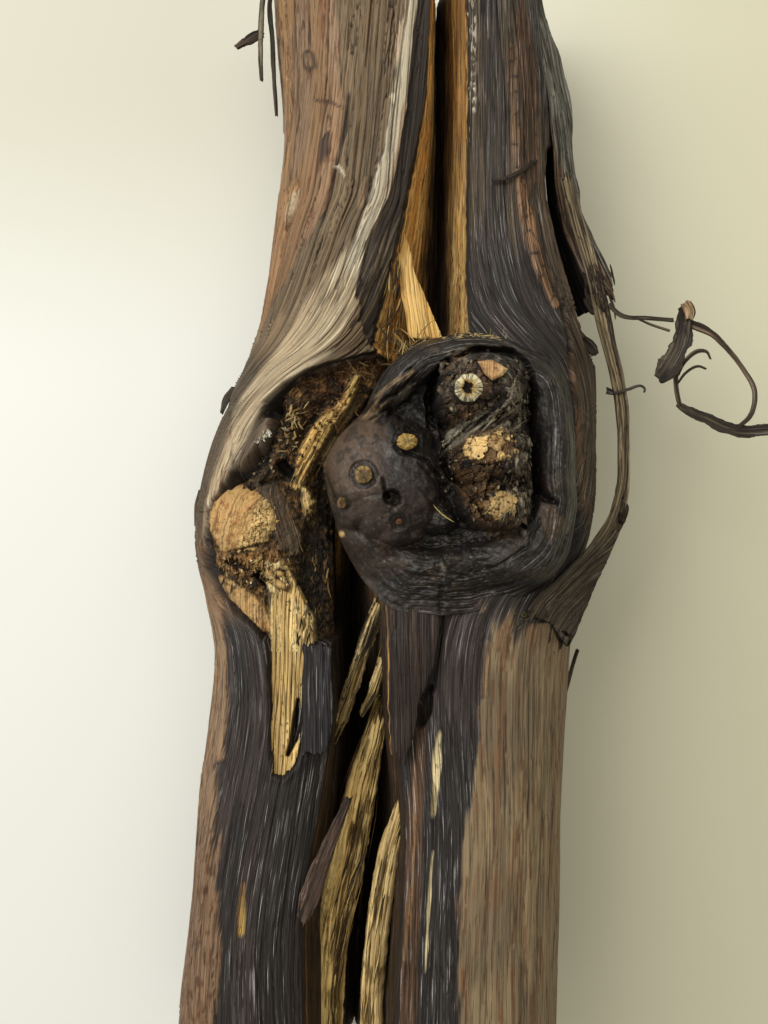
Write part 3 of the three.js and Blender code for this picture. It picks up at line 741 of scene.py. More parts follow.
leftMarks = {
    "edgeBark": [(417, -80), (417, 0), (409, 100), (400, 150), (390, 190), (376, 220), (362, 245),
        (357, 290), (361, 322), (374, 346)],
    "paleBand": [(404, -80), (404, 0), (396, 60), (391, 100), (381, 150), (366, 200), (356, 240),
        (344, 270), (334, 300)],
    "greyBrown": [(332, -80), (334, 0), (345, 100), (330, 200), (300, 250), (272, 300), (256, 335),
        (230, 380)],
    "outerBark": [(215, 560), (221, 600), (230, 652), (229, 729), (226, 745), (227, 758), (219, 763),
        (218, 808), (216, 874), (218, 956), (215, 1024), (212, 1120)],
    "wound": [(380, 350), (366, 353), (352, 357), (330, 362), (305, 370), (284, 383), (265, 402),
        (256, 425), (241, 453), (226, 479), (212, 500), (206, 520), (203, 545), (207, 570), (217, 592),
        (234, 612), (250, 626), (265, 641), (269, 662), (270, 775), (284, 779), (297, 766), (303, 742),
        (305, 702), (308, 668), (312, 645), (330, 642), (345, 600), (350, 540), (345, 480), (362, 430),
        (390, 380), (392, 352)],
    "hollow": [(372, 366), (330, 372), (292, 390), (264, 412), (246, 440), (234, 470), (250, 486),
        (285, 484), (302, 470), (318, 436), (345, 398)],
    "shelf": [(263, 418, 8), (256, 430, 17), (246, 442, 18), (238, 455, 12), (231, 466, 6)],
    "yellowSlit": [(242, 884, 3), (241, 905, 8), (240, 934, 7)],
    "darkCrack": [(293, -60, 3), (292, 0, 3), (291, 60, 3), (288, 110, 3), (284, 140, 1)],
    "fissure": [(350, 95, 2), (346, 130, 4), (334, 170, 4), (326, 206, 3), (322, 225, 1)],
    "paleScar": [(297, 190, 4), (291, 205, 8), (284, 220, 4)],
    "pinkFlake": [(366, 178, 4), (362, 192, 8), (361, 205, 6)],
    "knot": [(308, 55, 10), (309, 64, 12)],
    "whiteSpot": [(392, 98, 5), (393, 104, 4)],
    "redStrip": [(312, -60, 10), (322, 0, 10), (320, 35, 6)],
    "swirl": [(362, 236, 6), (351, 262, 22), (338, 290, 42), (322, 318, 52), (310, 338, 48), (292, 359, 38),
        (272, 379, 30), (251, 402, 23), (237, 432, 21), (225, 460, 15), (214, 482, 11), (206, 510, 7),
        (204, 545, 5)],
    "ragged": [(397, 196, 3), (386, 214, 12), (378, 240, 22), (374, 270, 26), (372, 300, 24),
        (376, 330, 14)],
    "thinArc": [(313, 98, 2.5), (330, 101, 3), (345, 108, 1.5)],
    "darkFlake": [(328, 134, 6), (325, 146, 11), (322, 159, 6)],
    "flakeTip": [(331, 163, 2), (340, 167, 2.5), (346, 178, 1)],
    "darkStreak": [(352, 95, 3), (346, 130, 6), (334, 180, 10), (318, 220, 12), (300, 262, 14),
        (284, 310, 10)],
}


def dressLeft(limb, points, grain):
    # the left limb's bark by where it lies in the photograph: tan and grey strips above the
    # wound, dark fibres below it, a pale band that swings round the wound's lip. The belly, which
    # the photograph doesn't show, takes the bark of the outer side
    seed, marks, tones = limb["seed"], leftMarks, barkTones
    along, height = points[..., 1], points[..., 2]
    px, py = inPhoto(points[..., 0], along, height)
    px = px - bellyShift * smooth(29, 21, height)
    wander = barkWander(grain, along, seed)
    lower = smooth(-14.0, -26.0, along)
    relief, wideValue, value, crack = barkRelief(grain, along, seed, 0.8 - 0.4 * lower, 0.65 + 0.35 * lower)
    plank, plankSide = strips(grain + 0.6 * wander, along, 8.0, 120.0, seed + 20)[:2]
    relief = relief + (1 - lower) * (0.7 * (plank - 0.5) - 0.5 * smooth(0.35, 0.1, plankSide))
    streak = rough(grain * 1.4, along * 0.04, 3, seed + 7)
    blotch = rough(grain * 0.35, along * 0.05, 3, seed + 8)
    # above the wound, from the outer side to the split
    coat = Coat(tones, "greyBrown", relief)
    coat.lay(0.3 * smooth(0.35, 0.8, value) + 0.4 * smooth(0.4, 0.9, wideValue), "tan")
    toGrey = px + wander - edgeAt(marks["greyBrown"], py)
    warm = smooth(2, -2, toGrey)
    coat.lay(warm, blend(tones["orange"], tones["pink"], smooth(0.4, 0.9, wideValue)))
    coat.relief = coat.relief - 0.45 * warm * (1 - lower)
    coat.lay(warm * smooth(150, 330, py), "red", 0.5)
    coat.lay((1 - warm) * smooth(0.55, 0.9, wideValue), tones["greyBrown"] * 0.72, 0.7)
    coat.tint = coat.tint * (0.72 + 0.5 * plank)[..., None]
    coat.lay(smooth(0.24, 0.1, plankSide) * smooth(-0.4, 0.1, streak), "crack", 0.85)
    darkStreak = stroke(px + wander, py, marks["darkStreak"], 4)
    coat.lay(darkStreak * smooth(-0.5, 0.3, streak), tones["greyBrown"] * 0.5, 0.65)
    swirl = stroke(px + 0.6 * wander, py, marks["swirl"], 5)
    band = Coat(tones, tones["swirl"] * 1.1)
    band.lay(smooth(0.0, 0.6, streak + 0.4 * blotch), "pale")
    band.lay(smooth(0.15, 0.6, blotch), tones["tan"] * 0.85, 0.6)
    band.lay(smooth(-0.4, -0.7, streak), tones["greyBrown"] * 0.75, 0.5)
    coat.lay(swirl, band.tint, 0.95)
    outerRim = smooth(330, 380, py) * (1 - swirl) * smooth(620, 560, py)
    coat.lay(outerRim, tones["greyBrown"] * [0.5, 0.54, 0.6] * (0.6 + 0.6 * value)[..., None], 0.9)
    toPale = px + wander - edgeAt(marks["paleBand"], py)
    pale = smooth(-1.5, 1.5, toPale) * smooth(290, 262, py + 4 * wander)
    coat.lay(pale, tones["pale"] * (0.68 + 0.25 * smooth(0.4, 0.9, value))[..., None], 0.92, 0.5)
    coat.lay(pale * smooth(0.0, 0.25, blotch), tones["pink"] * 1.25, 0.75)
    bound = np.minimum(np.abs(toGrey), np.abs(toPale) + 60 * (py > 290))
    coat.lay(smooth(1.6, 0.5, bound) * smooth(-0.3, 0.2, streak), "crack", 0.7)
    coat.relief = coat.relief * (1 - 0.6 * swirl)
    edge = smooth(-2, 2, px + wander - edgeAt(marks["edgeBark"], py)) * smooth(352, 344, py)
    edge = np.maximum(edge, stroke(px + 1.6 * wander, py, marks["ragged"], 3))
    paler = smooth(0.05, 0.5, streak) * smooth(180, 220, py)
    coat.lay(edge, blend(tones["dark"], tones["greyBrown"] * 0.8, paler), 0.95, -0.9)
    for key, colour, rise in (("darkCrack", "crack", -0.9), ("fissure", "crack", -0.8),
                              ("paleScar", "swirl", 0.3), ("pinkFlake", "pink", 0.5),
                              ("whiteSpot", "pale", 0.2), ("redStrip", "red", -0.1),
                              ("thinArc", "crack", -0.3), ("darkFlake", "purple", 0.8),
                              ("flakeTip", "pale", 0.5)):
        coat.lay(stroke(px + 0.4 * wander, py, marks[key], 1.2), colour, 0.85, rise)
    ring = stroke(px, py, marks["knot"], 5)
    coat.lay(smooth(0.2, 0.6, ring) * smooth(1.0, 0.7, ring), tones["crack"] * 2.5, 0.8)
    coat.relief = coat.relief + 0.8 * ring
    # below the wound
    dark = Coat(tones, "dark")
    dark.lay(smooth(0.3, 0.8, wideValue), "purple")
    dark.lay(smooth(0.0, 0.6, streak) * smooth(0.6, 0.3, value), "blueGrey", 0.55)
    coat.lay(lower, dark.tint)
    shell = smooth(1.5, -1.5, px + wander - edgeAt(marks["outerBark"], py)) * smooth(560, 610, py)
    coat.lay(shell, blend(tones["pink"], tones["tan"], value), 1, 0.55)
    speckle = rough(grain * 1.2, along * 0.5, 3, seed + 3)
    speckled = 0.7 * smooth(0.15, 0.45, speckle) + 0.45 * smooth(700, 900, py)
    coat.lay(shell * speckled, tones["red"] * 0.6)
    dashes = barkDashes(grain, along, seed, 7.0, 0.86)
    coat.lay(dashes * np.maximum(shell, warm * (1 - lower)), "rust", 0.8)
    slit = stroke(px, py, marks["yellowSlit"], 1.0)
    coat.lay(slit, blend(tones["yellow"], tones["orange"], smooth(925, 890, py)), 1, -0.7)
    coat.lay(crack * (1 - swirl), "crack", 0.75)
    # the wound and the bare strip: carved away along the normal
    depthIn = inside(px + 0.5 * wander, py, marks["wound"])
    hollow = inside(px, py, marks["hollow"])
    carve = 2.0 * smooth(-1.5, 2.5, depthIn) + 7.5 * smooth(0.5, 9, depthIn) + 3 * smooth(-8, 22, hollow)
    front = smooth(30.0, 34.0, height)
    shelf = stroke(px + 1.4 * wander, py, marks["shelf"], 3)
    carve = carve + (1.1 + 0.5 * blotch - carve) * shelf
    crumbs = rough(points[..., 0] * 1.1, along * 1.1, 4, seed + 12)
    carve = carve - 1.1 * crumbs * smooth(0, 4, depthIn) * (1 - shelf)
    rim = smooth(-9, -1, depthIn) * smooth(3, -1, depthIn) * front
    relief = coat.relief * (1 - smooth(-2, 3, depthIn)) + (0.5 * rim - carve) * front
    woundEdge = smooth(-2.5, 1.5, depthIn) * front
    # painted shade: black over the carved surface inside the wound's outline, down its walls and under the
    # wound's sheet
    coat.lay(woundEdge, "crack")
    coat.lay(smooth(0.05, 0.4, crumbs) * smooth(2, 5, depthIn) * front, tones["blueGrey"] * 0.8, 0.7)
    shelfTint = blend(tones["shelf"], tones["crack"], 0.8 * smooth(0.0, 0.5, streak + blotch))
    coat.lay(shelf * woundEdge, shelfTint, 0.95)
    silvery = 0.3 + 0.8 * smooth(-0.3, 0.3, rough(grain * 0.14, along * 0.012, 2, seed + 13))
    sheen = 0.1 + 0.9 * lower * (1 - shell) * (1 - slit) * silvery
    bite = 1 - (0.75 * warm + 0.65 * (1 - warm)) * (1 - lower)
    bite = bite * (1 - 0.5 * np.maximum(pale, shell)) + 0.35 * swirl
    return relief, coat.fields(grain, along, seed, sheen, bite)


rightMarks = {
    "segments": [(514, 48, 9), (514, 100, 8), (516, 160, 8), (526, 214, 12), (531, 240, 11), (538, 262, 10),
        (545, 282, 8), (556, 304, 9)],
    "crevice": [(549, 150, 3), (552, 175, 10), (556, 205, 13), (566, 250, 14), (578, 293, 13),
        (590, 335, 11), (596, 360, 8)],
    "flowCrack": [(563, 300, 2), (571, 340, 4), (573, 400, 4), (573, 463, 5), (577, 504, 5), (575, 540, 6),
        (562, 562, 6), (545, 580, 3)],
    "weathered": [(470, 596), (486, 620), (489, 640), (485, 696), (479, 706), (482, 737), (472, 775),
        (463, 847), (461, 902), (458, 1024), (456, 1120)],
    "outerBand": [(507, -80), (507, 110), (518, 190), (540, 260), (562, 310), (574, 360), (579, 500),
        (592, 560), (640, 590), (640, 1120)],
    "tanStripe": [(487, 643, 7), (484, 694, 6)],
    "paleSlit": [(439, 733, 4), (437, 760, 9), (434, 800, 8), (433, 815, 5)],
    "paleLine": [(433, 853, 2), (430, 900, 2.6), (427, 940, 3), (425, 972, 1.5)],
    "redStrip": [(424, 700, 6), (418, 760, 14), (414, 830, 17), (410, 900, 18), (406, 1000, 22),
        (404, 1100, 22)],
    "orangeLine": [(414, 765, 3), (413, 830, 4), (409, 900, 4), (404, 960, 3)],
    "blueGrey": [(534, -60, 22), (538, 0, 22), (545, 60, 20), (550, 110, 15), (553, 150, 9)],
    "tornHole": [(429, 688, 3), (426, 698, 11), (424, 712, 13), (420, 724, 8)],
    "besideBurl": [(571, 350, 1), (578, 395, 2.5), (581, 440, 3), (583, 480, 2.5), (584, 512, 1)],
    "seamBelow": [(443, 577, 3), (441, 615, 4), (437, 650, 5), (432, 690, 5)],
    "woodSpots": [(472, -80, 4), (474, 60, 6), (475, 110, 5)],
}


def dressRight(limb, points, grain):
    # the right limb's bark: dark fibres that part round the burl, brown strips outside them, and
    # a weathered tan face below on the right
    seed, marks, tones = limb["seed"], rightMarks, barkTones
    along, height = points[..., 1], points[..., 2]
    px, py = inPhoto(points[..., 0], along, height)
    px = px + bellyShift * smooth(29, 21, height)
    wander = barkWander(grain, along, seed)
    weathered = smooth(-2.5, 2.5, px + 1.6 * wander - edgeAt(marks["weathered"], py))
    weathered = weathered * smooth(600, 625, py + 40 * rough(grain * 0.5, 0, 3, seed + 11))
    outerBand = smooth(-3, 3, px + 1.6 * wander - edgeAt(marks["outerBand"], py))
    outerBand = np.maximum(outerBand, smooth(34, 28, height)) * (1 - weathered)
    relief, wideValue, value, crack = barkRelief(grain, along, seed, 0.42 + 0.5 * outerBand, 1.1)
    streak = rough(grain * 1.4, along * 0.04, 3, seed + 7)
    coat = Coat(tones, "dark", relief)
    coat.lay(smooth(0.3, 0.8, wideValue), "purple")
    coat.lay(smooth(0.0, 0.6, streak), "blueGrey", 0.4)
    upper = smooth(265, 215, py + 6 * wander) * (1 - outerBand)
    coat.lay(upper * smooth(0.5, 0.62, wideValue), tones["greyBrown"] * 0.5, 0.8)
    coat.lay(upper * smooth(0.4, 0.3, wideValue), "crack", 0.7)
    coat.lay(upper * smooth(0.3, 0.5, streak) * smooth(0.5, 0.8, value), tones["pale"] * 0.5, 0.7)
    brown = blend(tones["greyBrown"] * 0.5, tones["red"] * 0.6, smooth(0.3, 0.8, value))
    coat.lay(outerBand * smooth(0.15, 0.6, wideValue + 0.3 * outerBand), brown, 0.85)
    aged = Coat(tones, tones["greyBrown"] * [1.0, 1.04, 1.0])
    aged.lay(smooth(-0.3, 0.5, streak), tones["tan"] * 0.86, 0.4)
    blotch = rough(points[..., 0] * 0.14, along * 0.05, 3, seed + 4)
    aged.lay(smooth(0.1, 0.5, blotch), tones["greyBrown"] * 0.6, 0.7)
    spots = rough(grain * 0.9, along * 0.12, 4, seed + 6)
    aged.lay(smooth(0.2, 0.4, spots), tones["red"] * 0.85, 0.55)
    dashes = barkDashes(grain, along, seed, 8.0, 0.84)
    aged.tint = aged.tint * 1.04
    aged.lay(dashes, tones["rust"] * 0.85, 0.7)
    coat.lay(weathered, aged.tint)
    coat.relief = coat.relief + (0.35 - 0.12 * dashes) * weathered
    # painted marks: how much of each shows, for those that don't show whole
    shown = {"woodSpots": smooth(0.0, 0.25, rough(px * 0.45, py * 0.2, 3, 9)),
             "segments": 0.35 + 0.65 * smooth(150, 225, py)}
    # the crevice and the torn hole are carved deep and painted black, a painted shade in them
    for key, colour, rise, soft in (("segments", "segment", 0.6, 1.2), ("blueGrey", "blueGrey", 0.2, 4),
                                    ("tanStripe", "tan", 0.4, 1), ("redStrip", tones["red"] * 0.58, 0, 3),
                                    ("orangeLine", "orange", 0.1, 1.5), ("paleSlit", "straw", -0.6, 1),
                                    ("paleLine", "straw", -0.3, 0.8), ("woodSpots", "pale", 0.3, 2),
                                    ("crevice", "crack", -3.2, 3), ("flowCrack", "crack", -1.2, 1.5),
                                    ("seamBelow", "crack", -0.9, 1.5), ("besideBurl", "red", 0.3, 1),
                                    ("tornHole", "crack", -3.5, 2)):
        coat.lay(stroke(px + 0.5 * wander, py, marks[key], soft) * shown.get(key, 1), colour, 0.88, rise)
    steps = along * 0.3 + 0.8 * noise(along * 0.25, grain * 0.4, 5)
    coat.lay(stroke(px, py, marks["segments"], 2) * smooth(0.07, 0.02, np.abs(steps - np.round(steps))),
             "crack")
    coat.lay(crack, "crack", 0.7)
    pale = np.maximum(stroke(px, py, marks["paleSlit"], 1), stroke(px, py, marks["paleLine"], 1))
    below = smooth(590, 612, py) * smooth(760, 690, py) * (1 - weathered)
    coat.lay(below, tones["purple"] * (0.8 + 0.3 * value)[..., None], 0.75)
    sheen = (1 - 0.95 * weathered) * (1 - 0.6 * outerBand) * (1 - pale) * (1 - 0.5 * upper)
    return coat.relief, coat.fields(grain, along, seed, sheen * (1 - 0.6 * below), 1 - 0.7 * weathered)


makeLimb(leftLimb, (0.0, sawnAt), dressLeft, "leftLimbTip", ("left_limb",))
makeLimb(leftLimb, (-sawnAt, 0.0), dressLeft, "leftLimbButt", ("left_limb",))
makeLimbBack(leftLimb, dressLeft, "leftLimbBack")
makeLimb(rightLimb, (0.0, sawnAt), dressRight, "rightLimbTip", ("right_limb",))
makeLimb(rightLimb, (-sawnAt, 0.0), dressRight, "rightLimbButt", ("right_limb",))
makeLimbBack(rightLimb, dressRight, "rightLimbBack")
print("limbs made")


# The burl

def dome(x, y, knob):
    # the upper half of a turned ellipsoid, falling away outside its outline
    cx, cy, cz = knob["centre"]
    turn = math.radians(knob.get("turn", 0))
    u = ((x - cx) * math.cos(turn) + (y - cy) * math.sin(turn)) / knob["radii"][0]
    v = ((y - cy) * math.cos(turn) - (x - cx) * math.sin(turn)) / knob["radii"][1]
    far = np.hypot(u, v)
    rise = knob["radii"][2] * np.sqrt(np.clip(1 - far ** 2, 0, 1))
    return cz + rise - 14 * np.clip(far - 1, 0, 3)


def roll(x, y, path, thickness):
    # a rounded roll along a path of x, y, z, width
    best = np.full(x.shape, -1e3)
    path = np.asarray(path, float)
    for a, b in zip(path[:-1], path[1:]):
        t, far = nearest(x, y, a, b)
        far = far / (0.5 * (a[3] + (b[3] - a[3]) * t))
        height = a[2] + (b[2] - a[2]) * t + thickness * np.sqrt(np.clip(1 - far ** 2, 0, 1))
        best = np.maximum(best, height - 5 * np.clip(far - 1, 0, 9))
    return best


def together(heights, soft):
    # a soft maximum: the logarithm of summed exponentials
    heights = np.stack(heights) / soft
    top = heights.max(axis=0)
    return soft * (top + np.log(np.exp(heights - top).sum(axis=0)))


burl = {
    "middle": (12.0, 6.0),
    "rows": 226,
    "columns": 404,
    "skirt": 12,  # rows below the rim
    "rim": 5.5,  # how wide the slope is from the knobs down to the rim
    "skirtZ": 34.0,  # where the skirt ends, inside the limb
    "outline": [(365, 413), (372, 392), (381, 377), (392, 362), (404, 352), (418, 345), (434, 339),
        (453, 334), (470, 332), (490, 335), (508, 340), (524, 347), (540, 352), (556, 360), (566, 376),
        (571, 400), (573, 430), (573, 463), (576, 490), (576, 515), (573, 540), (564, 562), (548, 580),
        (528, 595), (505, 605), (480, 611), (455, 613), (430, 614), (408, 613), (390, 610), (379, 599),
        (366, 583), (354, 566), (345, 548), (337, 528), (330, 508), (326, 488), (326, 466), (331, 448),
        (342, 434), (354, 421)],
    # the rim's height at each bearing in degrees
    "rimHeight": [(-180, 52), (-150, 54.5), (-135, 57), (-118, 63.4), (-92, 64.3), (-82, 62.5), (-60, 60.8),
        (-45, 59), (0, 58), (45, 59), (90, 58), (135, 56), (180, 52)],
    "body": dict(centre=(12.2, 6, 47), radii=(25, 26, 18.5)),
    "knobs": [dict(centre=(0.4, 6.6, 62), radii=(11.6, 13, 13), turn=20),
        dict(centre=(18.0, 23.0, 67), radii=(8.6, 8, 10.5)),
        dict(centre=(19.6, 10.9, 69), radii=(7.2, 6.4, 10), turn=15),
        dict(centre=(20.8, 1.8, 67.5), radii=(6.4, 5, 9.6), turn=-10),
        dict(centre=(-6.2, 0.4, 62), radii=(4.8, 4.6, 8.5)),
        dict(centre=(2.4, -2.4, 63), radii=(5.8, 5.2, 8)),
        dict(centre=(10.4, -1.0, 62), radii=(4.6, 4.4, 7)),
        dict(centre=(11.6, 10.2, 62), radii=(3.0, 5.4, 7))],
    # a roll round the knobs: x, y, z, width
    "collar": [(-0.8, 22.5, 63, 5), (5, 28.2, 65, 7.6), (13.6, 30.6, 66, 8.4), (23.2, 30.0, 66, 8),
        (30.6, 24.2, 66, 7.4), (33.6, 13.8, 65.5, 7), (33.2, 2.3, 65.5, 7.6), (28.8, -7, 65.5, 10),
        (20.4, -12.2, 65.5, 12), (10.8, -13.8, 65.5, 12.6), (1.4, -11.6, 64, 12), (-6.3, -6.5, 61.5, 9),
        (-10, 1.3, 58, 6)],
    # carved grooves: path in photo pixels with widths, depth in mm
    "carved": [
        ([(440, 366, 4), (432, 380, 6), (430, 395, 7), (433, 410, 9), (441, 424, 7), (446, 440, 5)], 2.6),
        ([(457, 356, 2), (473, 349, 4), (494, 349, 5), (514, 353, 7), (524, 361, 8), (530, 376, 9),
            (533, 392, 9), (531, 408, 10), (528, 424, 10), (530, 446, 10), (536, 467, 10), (539, 487, 11),
            (547, 499, 7), (558, 503, 3)], 3.6),
        ([(539, 490, 8), (534, 508, 8), (527, 520, 6), (521, 532, 4)], 2.2),
        ([(477, 495, 3), (490, 491, 4), (506, 488, 4), (526, 484, 3)], 1.6),
        ([(441, 424, 4), (445, 445, 7), (444, 462, 6), (449, 476, 5), (461, 484, 4), (472, 494, 5),
            (480, 506, 6), (487, 520, 3)], 2.6),
        ([(405, 452, 1.5), (413, 455, 2.5), (428, 461, 3), (437, 474, 3), (441, 485, 3),
            (441, 500, 2)], 1.3),
        ([(390, 497, 13), (394, 498, 14)], 3.0), ([(382, 478, 1.5), (384, 488, 3), (387, 496, 4)], 1.2),
        ([(418, 462, 1), (436, 482, 2), (441, 500, 2)], 0.8), ([(420, 488, 1), (434, 506, 2)], 0.7),
        ([(432, 426, 8), (430, 400, 11), (434, 376, 9), (448, 360, 6)], 3.0),
        ([(393, 508, 3), (389, 524, 1.5)], 0.6), ([(329, 482, 3), (334, 494, 6), (341, 508, 4)], 1.2),
        ([(345, 507, 2), (362, 497, 2.5), (380, 494, 2)], 0.5),
        ([(443, 577, 3), (441, 600, 4), (440, 616, 4)], 1.2),
        ([(573, 524, 2), (558, 553, 3), (530, 577, 3), (490, 590, 3), (450, 593, 2)], 0.7),
        ([(540, 520, 2), (528, 545, 3), (500, 565, 3), (460, 576, 3), (420, 570, 2)], 0.6),
        ([(372, 538, 2), (400, 548, 3), (440, 548, 3), (480, 540, 2)], 0.6),
        ([(380, 403, 3), (398, 392, 3), (414, 380, 3)], 1.2),
        ([(388, 415, 3), (402, 404, 3), (416, 393, 3)], 1.0)],
    # the skin's outline, the craggy knobs, flakes, ribs, a brown patch, and flecks above
    "leathery": [(318, 440), (365, 412), (412, 440), (440, 470), (444, 512), (424, 545), (404, 575),
        (372, 592), (336, 550), (312, 512)],
    "craggy": [(468, 372, 44), (478, 410, 66), (488, 460, 76), (497, 508, 56)],
    "flakes": [(500, 358, 5), (508, 376, 12), (519, 402, 13), (524, 435, 11), (526, 480, 11),
        (527, 510, 9), (524, 530, 6)],
    "ribs": [(436, 350, 5), (470, 356, 8), (455, 372, 10), (450, 395, 8)],
    "patch": [(548, 511, 16), (552, 522, 24), (552, 536, 10)],
    "topFlecks": [(444, 337, 4), (470, 334, 6), (500, 338, 5)],
    # how fine, seed, depth, width of the cracks
    "blocks": [(0.24, 48, 1.6, 0.1), (0.55, 49, 0.9, 0.12), (1.2, 55, 0.4, 0.14)],
    # yellow crusts: x, y, half width, half height, seed, how light
    "crusts": [(489, 447, 24, 17, 51, 1.0), (499, 507, 23, 16, 52, 0.55)],
    # round the stubs: x, y, width
    "rings": [(363.5, 474.5, 23), (407, 441.5, 23), (342, 503, 13), (399, 521.5, 11)],
    "spot": (341.6, 534),
    "webSlope": 36,
    # the outlines of the web and the slats, and raised cords: path, height in mm
    "web": [(438, 448), (446, 430), (470, 415), (500, 398), (518, 382), (530, 396), (527, 430), (512, 428),
        (490, 428), (468, 440), (450, 452)],
    "slats": [(357, 419), (372, 395), (392, 374), (412, 364), (420, 376), (404, 394), (388, 410),
        (374, 424)],
    "raised": [([(445, 442, 4), (463, 428, 6), (483, 417, 4)], 1.7),
        ([(460, 440, 4), (482, 424, 6), (506, 407, 4)], 1.4),
        ([(452, 425, 3), (468, 417, 4), (486, 408, 3)], 0.9),
        ([(377, 402, 6), (395, 387, 7), (411, 373, 6)], 0.8),
        ([(384, 411, 5), (401, 398, 5), (414, 386, 4)], 0.6),
        ([(440, 558, 3), (444, 570, 5), (442, 582, 4)], 0.6)],
}
burlTones = palette(
    dark=(23, 20, 20), grey=(54, 51, 51), leather=(80, 65, 55), brown=(86, 66, 48), crust=(216, 182, 122),
    crustDark=(104, 76, 46), silver=(150, 142, 126), crack=(14, 11, 10), wood=(226, 200, 140),
    purple=(52, 42, 38), slat=(128, 106, 78),
)


def burlHeight(x, y):
    # the knobs are read at warped places, which makes them lopsided
    u = x + 1.3 * rough(x * 0.2, y * 0.2, 3, 35) + 0.35 * rough(x * 0.8, y * 0.8, 2, 36)
    v = y + 1.3 * rough(x * 0.2, y * 0.2, 3, 37) + 0.35 * rough(x * 0.8, y * 0.8, 2, 38)
    heights = [dome(x, y, burl["body"])] + [dome(u, v, knob) for knob in burl["knobs"]]
    return together(heights + [roll(x, y, burl["collar"], 4.2)], 0.5)


